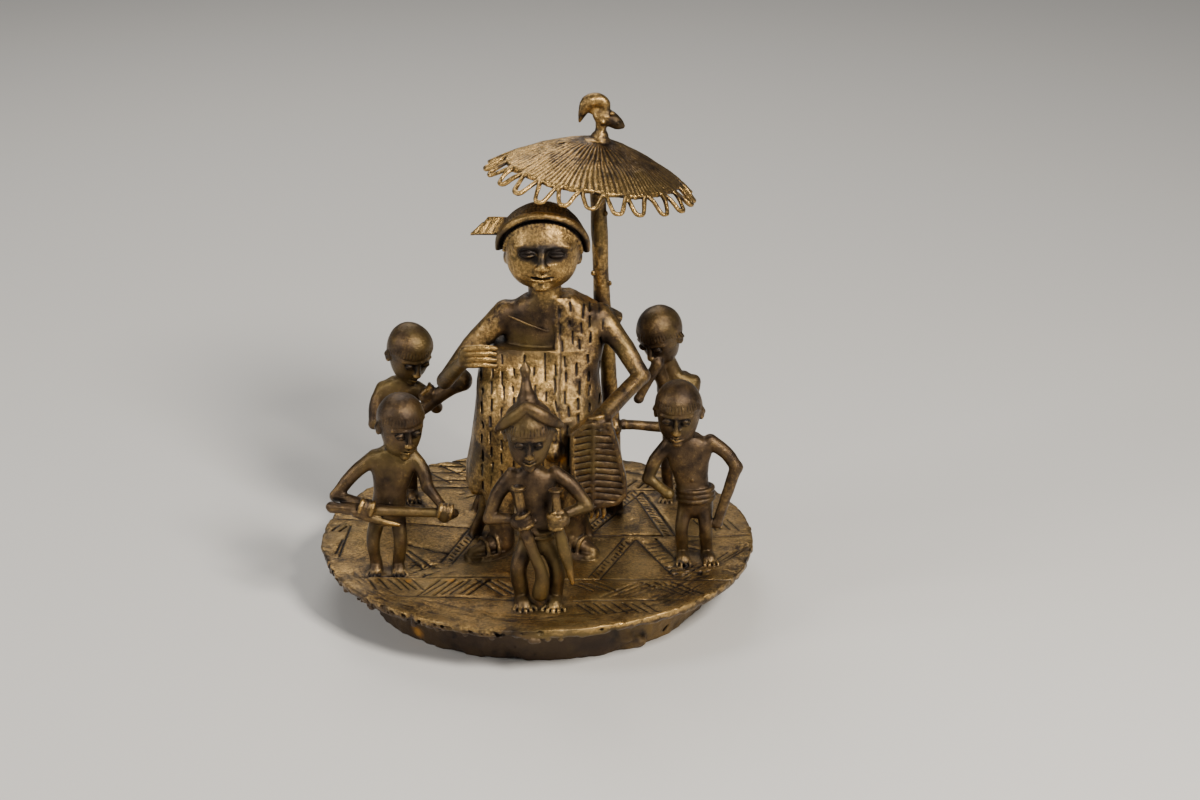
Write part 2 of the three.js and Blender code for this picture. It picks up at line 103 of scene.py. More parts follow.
class Window:
    """A part of the clay's field, with the coordinates of its points, which may be turned ones."""

    def __init__(self, field, x, y, z, marks=None):
        self.field, self.x, self.y, self.z = field, x, y, z
        self.marks = np.zeros(field.shape, np.float16) if marks is None else marks

    def own(self, shape):
        """The same place with a field of its own."""
        return Window(shape.astype(np.float32), self.x, self.y, self.z)

    def add(self, shape, soft=0.0, marks=None):
        field = self.field
        if marks is not None:
            np.copyto(self.marks, marks, where=shape < field, casting="unsafe")
        if soft:
            near = np.clip(soft - np.abs(field - shape), 0, None)
            np.minimum(field, shape, out=field)
            field -= near * near * (0.25 / soft)
        else:
            np.minimum(field, shape, out=field)

    def cut(self, shape, soft=0.0):
        field, away = self.field, -shape
        near = np.clip(soft - np.abs(field - away), 0, None) if soft else 0
        np.maximum(field, away, out=field)
        if soft:
            field += near * near * (0.25 / soft)

    def press(self, amount):
        """A positive amount presses the surface in, and a negative one raises it."""
        self.field += amount
        self.marks += np.maximum(amount, 0).astype(np.float16)

    def rod(self, p, q, start, end=None):
        end = start if end is None else end
        axis = [float(b - a) for a, b in zip(p, q)]
        length = sum(c * c for c in axis) or 1e-6
        dx, dy, dz = self.x - float(p[0]), self.y - float(p[1]), self.z - float(p[2])
        t = unit((dx * axis[0] + dy * axis[1] + dz * axis[2]) / length)
        dx, dy, dz = dx - t * axis[0], dy - t * axis[1], dz - t * axis[2]
        return np.sqrt(dx * dx + dy * dy + dz * dz) - (start + (end - start) * t)

    def ball(self, centre, half):
        half = (half,) * 3 if np.isscalar(half) else half
        parts = [(axis - float(c)) / float(h) for axis, c, h in zip((self.x, self.y, self.z), centre, half)]
        reach = np.sqrt(sum(p * p for p in parts))
        slope = np.sqrt(sum((p / float(h)) ** 2 for p, h in zip(parts, half)))
        return reach * (reach - 1) / np.maximum(slope, 1e-6)

    def slab(self, centre, half, rounding=0.4):
        out = [np.abs(axis - float(c)) - (float(h) - rounding)
               for axis, c, h in zip((self.x, self.y, self.z), centre, half)]
        outside = np.sqrt(sum(np.clip(o, 0, None) ** 2 for o in out))
        inside = np.minimum(np.maximum(np.maximum(out[0], out[1]), out[2]), 0)
        return outside + inside - rounding

    def stroke(self, a, b, plane="xz"):
        """Distance from a line in one of the coordinate planes, for marks that are pressed in."""
        first = self.x if plane[0] == "x" else self.y
        second = self.y if plane[1] == "y" else self.z
        du, dv = float(b[0] - a[0]), float(b[1] - a[1])
        t = unit(((first - a[0]) * du + (second - a[1]) * dv) / (du * du + dv * dv + 1e-6))
        return np.hypot(first - a[0] - t * du, second - a[1] - t * dv)

    def outline(self, corners):
        """Distance from a closed outline in X and Z: negative inside."""
        flat, inside = None, None
        for a, b in zip(corners, corners[1:] + corners[:1]):
            line = self.stroke(a, b)
            flat = line if flat is None else np.minimum(flat, line)
            rise = b[1] - a[1] or 1e-9
            edge = (b[0] - a[0]) * (self.z - a[1]) / rise + a[0]
            crossing = ((a[1] > self.z) != (b[1] > self.z)) & (self.x < edge)
            inside = crossing if inside is None else inside ^ crossing
        return np.where(inside, -flat, flat)


def bowed(at, places, values):
    """A smooth curve through values at rising places."""
    places, values = vec(places), vec(values)
    slopes = np.gradient(values, places)
    i = np.clip(np.searchsorted(places, at) - 1, 0, len(places) - 2)
    step = places[i + 1] - places[i]
    t = unit((at - places[i]) / step)
    start = (1 + 2 * t) * (1 - t) ** 2 * values[i] + t * (1 - t) ** 2 * step * slopes[i]
    end = t * t * (3 - 2 * t) * values[i + 1] + t * t * (t - 1) * step * slopes[i + 1]
    return (start + end).astype(np.float32)


class Clay:
    """A block of clay as a signed distance field: negative is inside."""

    def __init__(self, ticks):
        self.ticks = ticks
        self.low = np.array([t[0] for t in ticks], np.float32)
        counts = [len(t) for t in ticks]
        self.field = np.full(counts, FAR, np.float32)
        self.marks = np.zeros(counts, np.float16)  # how far tools have pressed the surface in, and a painted shadow under the cap's rim

    def cuts(self, low, high):
        cut = []
        for ticks, l, h in zip(self.ticks, low, high):
            start, stop = int(np.searchsorted(ticks, l)), int(np.searchsorted(ticks, h))
            cut.append(slice(start, max(stop, start + 1)))
        return cut

    def window(self, low, high, centre=None, turn=None):
        cut = self.cuts(low, high)
        x = self.ticks[0][cut[0]][:, None, None]
        y = self.ticks[1][cut[1]][None, :, None]
        z = self.ticks[2][cut[2]][None, None, :]
        if turn is not None:
            x, y, z = x - float(centre[0]), y - float(centre[1]), z - float(centre[2])
            x, y, z = (x * turn[0, i] + y * turn[1, i] + z * turn[2, i] for i in range(3))
        return Window(self.field[tuple(cut)], x, y, z, self.marks[tuple(cut)])

    def around(self, points, reach, centre=None, turn=None):
        points = vec(points)
        return self.window(points.min(0) - reach, points.max(0) + reach, centre, turn)

    def ball(self, centre, half, soft=0.5):
        half = (half,) * 3 if np.isscalar(half) else half
        w = self.around([centre], max(half) + soft + 1.5)
        w.add(w.ball(centre, half), soft)

    def tube(self, points, radii, soft=0.8, fine=1):
        points, radii = vec(points), vec(radii)
        if fine > 1:
            at = np.linspace(0, len(points) - 1, (len(points) - 1) * fine + 1)
            places = np.arange(len(points))
            points = np.stack([bowed(at, places, points[:, i]) for i in range(3)], 1)
            radii = bowed(at, places, radii)
        w = self.around(points, radii.max() + soft + 1.5)
        shape = None
        for i in range(len(points) - 1):
            part = w.rod(points[i], points[i + 1], radii[i], radii[i + 1])
            shape = part if shape is None else np.minimum(shape, part)
        w.add(shape, soft)

    def loft(self, rows, soft=0.8, power=2.0, ripple=None):
        """An upright body through rows of height, middle x and y, half width and half depth."""
        rows = vec(rows)
        low = (rows[:, 1:3] - rows[:, 3:5]).min(0)
        high = (rows[:, 1:3] + rows[:, 3:5]).max(0)
        reach = soft + 1.5
        w = self.window((*(low - reach), rows[0, 0] - reach), (*(high + reach), rows[-1, 0] + reach))
        z = np.clip(w.z[0, 0], rows[0, 0], rows[-1, 0])
        x, y, wide, deep = (bowed(z, rows[:, 0], rows[:, i])[None, None] for i in (1, 2, 3, 4))
        u, v = (w.x - x) / wide, (w.y - y) / deep
        reach_out = (np.abs(u) ** power + np.abs(v) ** power) ** (1 / power)
        shape = (reach_out - 1) * np.minimum(wide, deep)
        if ripple is not None:
            shape = shape + ripple(np.arctan2(u, -v), w.z)
        ends = np.maximum(rows[0, 0] - w.z, w.z - rows[-1, 0])
        w.add(np.maximum(shape, ends), soft)


def groove(distance, width, depth):
    """A rounded groove beside a line: how far the surface is pressed in."""
    return depth * np.clip(1 - (distance / width) ** 2, 0, None)


# ---- base ----
def wave(angle, counts, random):
    return sum(np.sin(n * angle + random.uniform(0, 6.3)) / n ** 0.6 for n in counts)


def base(clay, random):
    w = clay.window((-81, -81, -1), (81, 81, DECK + 4))
    angle = np.arctan2(w.y, w.x)
    out = np.hypot(w.x, w.y)
    ragged = 0.45 * np.clip(wave(angle, (5, 9, 14, 23), random), -0.6, 1.8)
    ragged = 0.3 + ragged + 0.25 * np.abs(wave(angle, (41, 67, 90), random))
    lip = PLATE_RADIUS - np.clip(ragged, 0, 2.4) - 1.0 * unit((DECK - 1.9 - w.z) / 2)
    sag = 0.22 * np.sin(w.x * 0.07 + 1) + 0.18 * np.sin(w.y * 0.09)
    under = DECK - PLATE_THICKNESS - 0.5 * np.clip(wave(angle, (8, 13, 29), random), 0, 1.4) * (out > 70)
    w.add(np.maximum(out - lip, np.maximum(w.z - DECK - 0.2 + np.abs(sag), under - w.z)))
    share = unit(w.z / 17)
    outer = FOOT_BOTTOM_RADIUS + (FOOT_TOP_RADIUS - FOOT_BOTTOM_RADIUS) * share ** 0.8
    outer = outer + 0.22 * wave(angle, (3, 7, 11, 19), random) * (1 - 0.4 * share)
    inner = FOOT_BOTTOM_RADIUS - FOOT_WALL + 0.3 * wave(angle, (4, 9, 15), random)
    w.add(np.maximum(np.maximum(out - outer, inner - out), np.maximum(-w.z, w.z - DECK + 1.5)), 2.0)


def ring_place(random, degrees, spread, radii, sizes, depths):
    """A random place near the plate's rim, at a depth below the deck, and a size for what is there."""
    turn = random.normal(math.radians(degrees), spread)
    radius, size = random.uniform(*radii), random.uniform(*sizes)
    depth = random.uniform(*depths)
    return (radius * math.cos(turn), radius * math.sin(turn), DECK - depth), size


def ragged_rim(clay, random):
    """Chips in the rim and crumbs of the casting's skin under it, most of them at the front left."""
    for _ in range(110):
        place, size = ring_place(random, 228, 0.6, (78.6, 80.4), (0.5, 1.3), (0.9, 3.0))
        w = clay.around([place], 3)
        w.cut(w.ball(place, (size, size, 0.7 * size)), 0.2)
    for _ in range(130):
        place, size = ring_place(random, 232, 0.65, (75, 78.4), (0.5, 1.4), (2.2, 4.0))
        clay.ball(place, (size, size, 0.8 * size), soft=0.3)


def foot_flaws(clay):
    """A slot and two lumps of old core on the foot ring's front right."""
    place = (46.6, -42.8, 3.6)
    w = clay.around([place], 6, place, turning(math.radians(-42.5)) @ turning(0, math.radians(-40)))
    w.cut(w.slab((0, 0, 0), (3, 0.6, 1.7), 0.4), 0.3)
    clay.ball((36.3, -51.4, 2.6), (3.4, 2.2, 2.5), soft=1.6)
    clay.ball((32.2, -54.2, 5.4), (2.6, 1.6, 2.2), soft=1.6)


def score(clay, a, b, width=0.52, depth=0.55, clean=False):
    """A line cut into the plate's top. A clean one adds no marks, which the material darkens as dirt and
    painted shade.
    """
    a, b = vec(a), vec(b)
    low, high = np.minimum(a, b) - width - 0.2, np.maximum(a, b) + width + 0.2
    w = clay.window((*low, DECK - 1.4), (*high, DECK + 1.2))
    if clean:
        w.marks = np.zeros(w.field.shape, np.float16)
    w.press(groove(w.stroke(a, b, "xy"), width, depth) + 0 * w.z)


def shaken(a, b, random, amount=0.35):
    return vec(a) + random.normal(0, amount, 2), vec(b) + random.normal(0, amount, 2)


def dash_band(clay, a, b, width, random):
    """Two lines side by side, with short punched strokes across the space between them."""
    a, b = vec(a), vec(b)
    along = (b - a) / np.linalg.norm(b - a)
    side = np.array([-along[1], along[0]]) * width
    score(clay, a, b, 0.45, 0.45)
    score(clay, a + side, b + side, 0.45, 0.4)
    for t in np.arange(1.5, np.linalg.norm(b - a) - 1, 2.6):
        middle = a + along * t + side * random.uniform(0.35, 0.65)
        slant = side * 0.2 + along * 0.8
        score(clay, middle - slant, middle + slant, 0.5, 0.6)


def hatch(clay, left, right, low, high, lean, random, pitch=3.0, width=0.5, clean=False):
    """A row of slanting strokes, as uneven as a hand makes them."""
    x = left
    while x < right:
        start = np.array((x, low + random.uniform(0.3, 1.6)))
        end = np.array((x + lean, high - random.uniform(0.3, 1.8)))
        x += pitch * random.uniform(0.75, 1.3)
        if random.uniform() > 0.08 and max(np.hypot(*start), np.hypot(*end)) < 78:
            score(clay, *shaken(start, end, random, 0.3), width, random.uniform(0.45, 0.7), clean)


def scattered(clay, left, right, low, high, count, random, lean=0.6):
    """Short strokes and chips here and there."""
    for _ in range(count):
        place = np.array((random.uniform(left, right), random.uniform(low, high)))
        turn = lean + random.normal(0, 0.35)
        reach = random.uniform(0.6, 1.9)
        arm = np.array((math.cos(turn), math.sin(turn))) * reach
        if np.hypot(*place) < 76:
            score(clay, place - arm, place + arm, random.uniform(0.4, 0.6), random.uniform(0.35, 0.7))


# The engraving on the plate, in X and Y: single lines, dashed bands, and rows of slanting strokes.
LINES = (
    ((-62, 45), (-14, 45)), ((18, 42), (66, 42)), ((-75, 16), (-25.4, 6.2)), ((16, 0), (78, 0)),
    ((-65, -35.4), (-8, -36)), ((10, -37.8), (70, -37.8)), ((-51, -51.2), (-6, -55)),
    ((14, -54.6), (52, -54.2)), ((-44, 65.7), (-22, 65.7)), ((-52, 59.7), (-20, 59.7)),
    ((-57, 52.3), (-16, 52.3)), ((-36, 70.6), (-20, 70.6)), ((-39.8, 66.7), (-30.4, 57.7)),
    ((-43.3, 58.7), (-35.1, 49.9)), ((-32.9, 69.7), (-29.2, 65.7)), ((39.1, 40.2), (50.8, 0.4)),
    ((35.9, -3.2), (48.8, -33)), ((43.4, -2.6), (54, -29)), ((-69.8, 9), (-72.4, -19)),
    ((-71.8, -3), (-73.2, -16)), ((52, -6), (66, -1.5)), ((52, -9), (64, -14)), ((20, 66), (58, 50)),
    ((-16, 74), (18, 74)), ((-47, -13), (-38, -26.6)), ((-49, -14), (-41, -28)),
    ((-17.3, -38.4), (-7.8, -49.8)), ((-13.4, -39.2), (-7.1, -47.2)), ((-21.4, -38.4), (-11, -51)),
)
BANDS = (
    ((19.3, 0.4), (39.1, 40.2)), ((23, -37.6), (35.9, -4)), ((-20, 24), (-34.8, -23)),
    ((50.8, 0.4), (41, 36)), ((-60, 45), (-44, 18)), ((66, 42), (58, 66)),
)
BAND_WIDTH = 4.4
HATCHES = (  # left, right, low, high and lean
    (12, 22, -47.5, -39, -8), (38, 60, -51, -39, -11), (15, 47, -65.5, -56, -5.6),
    (-60, -44, -47, -37, -4.5), (-44, -22, -51.5, -37.5, 7), (-66, -54, 18, 30, 4),
    (58, 72, 4, 16, -4), (-30, -18, 60.4, 65, 2), (20, 50, 44, 52, 4), (-77, -71, 3, 11, 2.5),
)


def plate_pattern(clay, random):
    for a, b in LINES:
        score(clay, *shaken(a, b, random, 0.2))
    for a, b in BANDS:
        dash_band(clay, a, b, BAND_WIDTH, random)
    for t in np.arange(0.08, 0.9, 0.13):
        near, far = (37.4 + 11.6 * t, -5 - 27 * t), (43.2 + 9.4 * t, -4 - 24 * t)
        score(clay, *shaken(near, far, random, 0.4), 0.4, 0.35)
    for left, right, low, high, lean in HATCHES:
        hatch(clay, left - min(lean, 0), right - min(lean, 0), low, high, lean, random, 3.1)
    hatch(clay, 23, 38, -52.6, -39.4, 13, random, 2.5, 0.5, clean=True)
    hatch(clay, 62, 71, -24, -12.5, 7.6, random, 1.7, 0.36)
    scattered(clay, 47, 62, -37, -26.5, 34, random)
    scattered(clay, -47, -31, -34.5, -23, 22, random)
    scattered(clay, -30, -8, 26, 40, 12, random)


def plate_wear(clay, random):
    """Fine scratches along the front rim, a crack at the left, and pits at the right edge."""
    for _ in range(150):
        turn, radius = random.uniform(math.radians(205), math.radians(325)), random.uniform(66, 77)
        reach = random.uniform(0.02, 0.08)
        start, end = (np.array((math.cos(t), math.sin(t))) * radius for t in (turn - reach, turn + reach))
        score(clay, start, end, 0.4, random.uniform(0.08, 0.2))
    w = clay.window((-49, -18, DECK - 1.5), (-31, -5, DECK + 1.2))
    crack = w.stroke((-47, -8), (-33, -15.2), "xy") + 0.5 * np.sin(w.x * 1.3) * np.sin(w.y)
    w.press(groove(crack, 0.9, 1.0) + 0 * w.z)
    for _ in range(60):
        turn, radius = random.normal(math.radians(-15), 0.1), random.uniform(74, 79.4)
        place = (radius * math.cos(turn), radius * math.sin(turn), DECK + 0.1)
        w = clay.around([place], 2)
        w.cut(w.ball(place, (random.uniform(0.4, 0.9), random.uniform(0.4, 0.9), 0.5)), 0.2)


# ---- heads ----
def face(own, at, a, b, h, ear):
    """Plain stylised features: sockets, brows, slit eyelids, ears, a ridge nose and a small mouth."""
    for side in (-1, 1):
        own.cut(own.ball(at(side * 0.38, -1.1, 0), at(0.31, 0.27, 0.09)), 0.12 * a)
        own.add(own.rod(at(side * 0.14, -0.93, 0.085), at(side * 0.68, -0.68, 0.075), 0.05 * a), 0.09 * a)
        own.add(own.ball(at(side * 0.37, -0.84, 0), at(0.22, 0.12, 0.055)), 0.02 * a)
        slit = own.stroke((side * 0.22 * a, 0.0), (side * 0.52 * a, 0.0)) + 3 * (own.y > -0.5 * b)
        own.press(groove(slit, 0.035 * a, 0.05 * a))
        own.add(own.ball(at(side * ear[0], 0.08, ear[1]), at(0.1, 0.18, 0.09)), 0.1 * a)
        own.cut(own.ball(at(side * (ear[0] + 0.1), -0.03, ear[1]), at(0.06, 0.09, 0.05)), 0.05 * a)
        own.add(own.ball(at(side * 0.12, -0.97, -0.165), at(0.09, 0.1, 0.035)), 0.06 * a)
    own.add(own.rod(at(0, -0.9, 0.06), at(0, -1.06, -0.15), 0.075 * a, 0.12 * a), 0.1 * a)
    for z, thick in ((-0.268, 0.055), (-0.318, 0.06)):
        for side in (-1, 1):
            lip = own.rod(at(0, -0.9, z), at(side * 0.25, -0.76, z - 0.004), thick * a, 0.03 * a)
            own.add(lip, 0.05 * a)
    gap = own.stroke((-0.27 * a, -0.293 * h), (0.27 * a, -0.293 * h)) + 3 * (own.y > -0.4 * b)
    own.press(groove(gap, 0.03 * a, 0.05 * a))
    own.add(own.ball(at(0, -0.66, -0.42), at(0.2, 0.14, 0.06)), 0.12 * a)


def hair_edge(own, b, h, thick):
    """A low cap of hair whose edge is hatched."""
    above = own.z - 0.15 * h + 0.21 * h * unit((own.y + 0.45 * b) / (0.7 * b))
    own.press(-thick * unit(above / 0.5 + 0.5))
    stripes = np.abs(((np.arctan2(own.x, -own.y) * 7) % 1) - 0.5)
    own.press(0.9 * thick * unit(1 - stripes / 0.25) * ((above > 0.2) & (above < 0.13 * h)))


def head(clay, place, yaw, pitch, size, hair=0.5, ear=(0.97, -0.04), jaw=0.8):
    a, b, h = size[0] / 2, size[1] / 2, size[2]

    def at(x, y, z):
        return x * a, y * b, z * h

    w = clay.around([place], 0.72 * h + 3, place, turning(yaw, pitch))
    own = w.own(w.ball(at(0, 0.04, 0.1), at(0.95, 0.95, 0.39)))
    own.add(own.ball(at(0, -0.2, -0.16), at(jaw, 0.68, 0.335)), 0.3 * a)
    own.press(groove(own.ball(at(0, -1, 0), at(0.7, 0.28, 0.07)) + 0.3, 0.16 * a, 0.03 * a))
    face(own, at, a, b, h, ear)
    hair_edge(own, b, h, hair)
    w.add(own.field, 0.8, own.marks)


# ---- attendants ----
ARM = (2.6, 2.15, 1.8)
LEG = (3.1, 2.45, 2.1)


def foot(clay, ankle, toe, count, thick):
    """A flat foot whose toes are short ridges on the plate."""
    heel, tip = np.array([*ankle, DECK + 0.9]), np.array([*toe, DECK + 0.6])
    along = (tip - heel) / np.linalg.norm(tip - heel)
    side = np.array([-along[1], along[0], 0.0])
    clay.tube([heel + along * 0.4, tip - along * 1.6], [2.3 * thick, 2.5 * thick], soft=0.8)
    w = clay.around([tip], 9)
    for i in range(count):
        offset = (i - (count - 1) / 2) * 1.5 * thick
        start = tip + side * offset * 0.8 - along * 1.6
        end = tip + side * offset * 1.1 + along * (2.6 - 0.12 * offset * offset)
        w.add(w.rod(start, end, 0.78 * thick, 0.6 * thick), 0.1)


def fist(clay, hand, across, forward, size=1.0):
    """A hand closed on a grip: a smooth back on the arm's side, and fingers round the grip's front."""
    hand, across, forward = vec(hand), vec(across), vec(forward)
    across, forward = across / np.linalg.norm(across), forward / np.linalg.norm(forward)
    up = np.cross(across, forward)

    def at(side, front, level=0.0):
        return hand + (across * side + forward * front + up * level) * size

    clay.ball(at(-1.5, 0.3), 2.7 * size, soft=0.8)
    clay.ball(at(0, 0.6), 2.6 * size, soft=0.4)
    w = clay.around([hand], 8)
    for level in (-2.13, -0.71, 0.71, 2.13):
        bend = [at(-1.2, 2.5, level), at(1, 2.75, level), at(2.6, 1.5, level), at(2.8, -0.2, level)]
        for p, q in zip(bend, bend[1:]):
            w.add(w.rod(p, q, 0.78 * size), 0.06)
    clay.tube([at(-1.6, 0, 2.9), at(1.2, 1.6, 2.9)], [size, 0.8 * size], soft=0.3)


def body(clay, hips, chest, rolls):
    """A bare trunk, with rolls of cloth at the waist where there are any."""
    mid = (hips + chest) / 2
    cloth = hips[2] + 2.2 * rolls
    clay.loft([
        (hips[2] - 6, *hips[:2], 4.8, 3.9), (hips[2] - 1, *hips[:2], 6.1, 4.8),
        (max(cloth, mid[2] - 1), *mid[:2], 6.0, 4.3),
        (chest[2] - 3, *chest[:2], 7.1, 4.7), (chest[2] + 2.5, *chest[:2], 8.0, 4.7),
        (chest[2] + 6, *chest[:2], 6.4, 3.9), (chest[2] + 8, *chest[:2], 3.6, 3.2),
    ], soft=0.8, power=2.5)
    for row in range(rolls):
        z = hips[2] + 1.9 * row + 1.0
        w = clay.window((hips[0] - 10, hips[1] - 8, z - 3), (hips[0] + 10, hips[1] + 8, z + 3))
        u, v = (w.x - hips[0]) / 6.1, (w.y - hips[1]) / 4.7
        tilt = 0.03 * (w.x - hips[0])
        w.add(np.hypot((np.hypot(u, v) - 1) * 5.2, w.z - z - tilt) - 1.0, 0.1)
    return mid[0], mid[1] - 4.4, cloth + 3


def attendant(clay, hips, chest, shoulders, arms, legs, face, yaw=0.0, pitch=0.0, rolls=0, stout=1.0):
    """Arms are pairs of elbow and hand, and legs are a knee, an ankle and a toe each."""
    hips, chest = vec(hips), vec(chest)
    navel = body(clay, hips, chest, rolls)
    clay.tube([chest + (0, 0, 4), vec(face) + (0, 1.5, -6)], [3.4, 3.3], soft=1.2)
    head(clay, face, yaw, pitch, HEAD_SIZE)
    for (elbow, hand), shoulder in zip(arms, shoulders):
        elbow, hand = vec(elbow), vec(hand)
        wrist = hand - 2.2 * (hand - elbow) / np.linalg.norm(hand - elbow)
        outward = np.array([np.sign(shoulder[0] - chest[0]) * 1.1, 0, 0.5])
        middle = (vec(shoulder) + elbow) / 2 + outward
        clay.tube([shoulder, middle, elbow], [ARM[0], 2.5, ARM[1]], soft=1.2, fine=3)
        clay.tube([elbow, wrist], ARM[1:], soft=0.8)
        clay.ball(hand, (2.1, 2.1, 2.0), soft=0.8)
    for side, (knee, ankle, toe) in zip((-1, 1), legs):
        hip = hips + (3.2 * side, 0, -2)
        clay.tube([hip, knee, (*ankle, DECK + 2)], [stout * r for r in LEG], soft=1.0, fine=3)
        foot(clay, ankle, toe, 5 if stout > 1.1 else 4, 0.98 * stout)
    clay.ball(navel, 0.7, soft=0.5)


def sword_bearer(clay):
    attendant(
        clay, (1.2, -55, 45), (-0.4, -55, 63), [(-7.4, -55, 68.4), (7.4, -55, 69)],
        [((-15.6, -56, 52), (-4.4, -61.5, 54.4)), ((18.4, -57, 57.4), (8.0, -61.5, 55))],
        [((-5.6, -57.5, 34), (-4.4, -55.5), (-3.4, -62.2)), ((7.8, -57.5, 34), (7.2, -55.5), (6.8, -62.2))],
        (-1.2, -56, 83.4), 0, 0.12, rolls=2, stout=1.2)
    blades = (
        ((-5.2, -63, 67.2), (-3.4, -63, 52), [(-0.4, -63, 42.7), (2.8, -62.4, 33), (2.0, -61.6, 25.6)],
         [2.0, 2.1, 2.5, 2.7]),
        ((7.6, -63, 66.4), (8.4, -63, 52), [(10.8, -63, 42), (13.4, -62.4, 30.6)], [1.9, 2.2, 0.9]),
    )
    for (top, grip, blade, radii), across in zip(blades, ((1, 0, 0.3), (-1, 0, -0.1))):
        clay.ball((top[0], top[1], top[2] - 0.6), (2.7, 2.5, 0.8), soft=0.2)
        clay.tube([(top[0], top[1], top[2] - 0.8), grip], [1.45, 1.7], soft=0.5)
        clay.tube([grip, *blade], radii, soft=0.4, fine=3)
        hand = vec(top) * 0.18 + vec(grip) * 0.82
        fist(clay, hand, across, (0, -1, 0), 1.05)
    # A cap with a tall knobbed point, and a roll that falls from it to a horn at each side.
    clay.ball((-1.4, -55.6, 89.4), (8.1, 7.4, 6.4), soft=0.6)
    point = [(-1.6, -57.4, 93), (-2, -57, 97), (-2.3, -55.8, 100.6), (-2.5, -54.8, 104.4),
             (-2.5, -54.6, 106.8), (-2.6, -54.6, 109.4)]
    left = [(-2.2, -61.6, 96), (-6.2, -61.6, 92.6), (-9.8, -59.8, 89.2), (-12.2, -57.9, 86.5)]
    right = [(-2.0, -61.6, 96), (2.8, -62, 93.4), (6.8, -60.6, 90.4), (9.0, -58.2, 88.3)]
    clay.tube(point, [5.4, 3.6, 2.0, 1.35, 1.9, 0.7], soft=1.0)
    clay.tube(left, [1.9, 2.3, 1.9, 1.1], soft=0.12, fine=3)
    clay.tube(right, [1.9, 2.4, 2.2, 1.6], soft=0.12, fine=3)


def gun_bearer(clay):
    attendant(
        clay, (-53, -28, 44), (-51, -27.5, 59), [(-57.2, -27.5, 63.4), (-44.2, -27, 64)],
        [((-71, -31, 49.6), (-60, -35, 48.2)), ((-38.4, -31, 53), (-32.4, -35, 46.4))],
        [((-58.4, -31, 32), (-57.6, -29.4), (-58.2, -33)), ((-48.6, -31, 32), (-49.8, -29.4), (-49, -33))],
        (-47.6, -29, 76.4), 0.45, 0.18)
    gun = [(-72.4, -35.6, 47.2), (-62, -36, 46.4), (-50, -36, 46), (-28.8, -36.2, 45.2)]
    clay.tube(gun, [2.3, 2.3, 2.0, 1.7], soft=0.4)
    clay.tube([(-64, -37.4, 46), (-56, -37.4, 43), (-48.6, -37, 41)], [1.8, 1.7, 0.7], soft=0.4)
    fist(clay, (-60, -36.4, 47.4), (0.3, 0, 1), (0, -1, 0.1), 1.0)
    fist(clay, (-32, -36.2, 45.8), (0.2, 0, 1), (0, -1, 0), 0.95)


def hand_on_hip_attendant(clay):
    attendant(
        clay, (57.4, -17, 42), (55, -17, 59.5), [(47.6, -17, 64), (62.6, -17, 65)],
        [((40.4, -18.6, 51), (47.6, -22.6, 46.8)), ((72, -18.6, 55.6), (65.4, -20, 34))],
        [((52.6, -20, 32), (53, -17.4), (53.2, -24.2)), ((61.2, -20, 32), (61.8, -17.4), (63, -24.2))],
        (51, -20, 77.6), -0.12, 0.14, rolls=3)


def horn_blower(clay):
    attendant(
        clay, (-53, 37, 45), (-52.6, 37, 60.4), [(-58.8, 36.6, 64.4), (-46, 36, 64.8)],
        [((-62, 31, 52), (-49, 27, 56)), ((-38.6, 33, 58), (-41, 27.4, 67))],
        [((-57.6, 34.6, 33), (-57, 37.6), (-58, 31.4)), ((-48.6, 34.6, 33), (-49, 37.6), (-48, 31.4))],
        (-48.4, 34.6, 79.6), 0.5, 0.42)
    horn = [(-50.4, 27.4, 53.4), (-41.6, 26, 61.6), (-33, 24.6, 69.4), (-28.8, 23.8, 72.6)]
    clay.tube(horn, [1.8, 2.5, 3.3, 4.4], soft=0.4, fine=3)
    fist(clay, (-41, 26, 66.6), (0.7, 0, 0.7), (0.1, -1, 0), 1.0)


def umbrella_bearer(clay):
    attendant(
        clay, (53, 37, 46), (52.4, 36.4, 62.6), [(46.8, 35, 67.6), (58.4, 36.4, 67.2)],
        [((44.4, 28.4, 77.6), (37.4, 26.2, 64.2)), ((50.4, 31, 50.6), (31.8, 24.2, 54.6))],
        [((48.6, 34.6, 33), (49, 37.6), (48, 31.4)), ((57.4, 34.6, 33), (57, 37.6), (58, 31.4))],
        (45.6, 34, 87), -0.62, 0.5)
    fist(clay, (28.8, 22.6, 54.6), (0, 1, 0.2), (-0.8, -0.6, 0), 1.0)


# ---- chief ----
def stool(clay):
    w = clay.window((-30, -8, 33), (26, 34, 46))
    w.add(w.slab((-2, 12, 39.8), (22.5, 15.5, 2.2), 1.4), 0.5)
    for side in (-1, 1):
        for y in (1, 23):
            leg = [(-2.6 + side * 21, y, DECK), (-2.4 + side * 17.4, y, 30), (-2.4 + side * 16, y, 40)]
            clay.tube(leg, [2.2, 2.4, 2.4], soft=0.8)


# Rows of height, middle x and y, half width and half depth.
WRAP = (
    (41, -0.8, 5, 25, 19.2), (44, -0.8, 5, 25, 19.4), (60, 0.2, 4.8, 23.8, 19.2), (73, 0.4, 6, 22.6, 17.2),
    (84, 0.2, 7.6, 21.2, 13.6), (91, 2.6, 8.8, 19.6, 11.6), (94, 3.6, 9, 18.6, 11.2),
)
CHEST = ((88, 5, 9.8, 15.4, 9), (100, 5.2, 10, 17.4, 8.6), (107, 5, 10, 15.4, 7.6), (111.4, 3.6, 9, 8.2, 5.8))
SHAWL = (
    (41.5, -0.8, 5, 25.6, 19.8), (60, 0.2, 4.8, 24.4, 19.8), (73, 0.4, 6, 23.2, 17.8),
    (84, 1, 7.6, 21.9, 14.2), (91, 4, 8.8, 20.2, 12), (100, 6.2, 10, 18.8, 9.8),
    (107.4, 5.6, 10, 16.4, 8.5), (112.2, 4.4, 9.2, 9.4, 6.6),
)


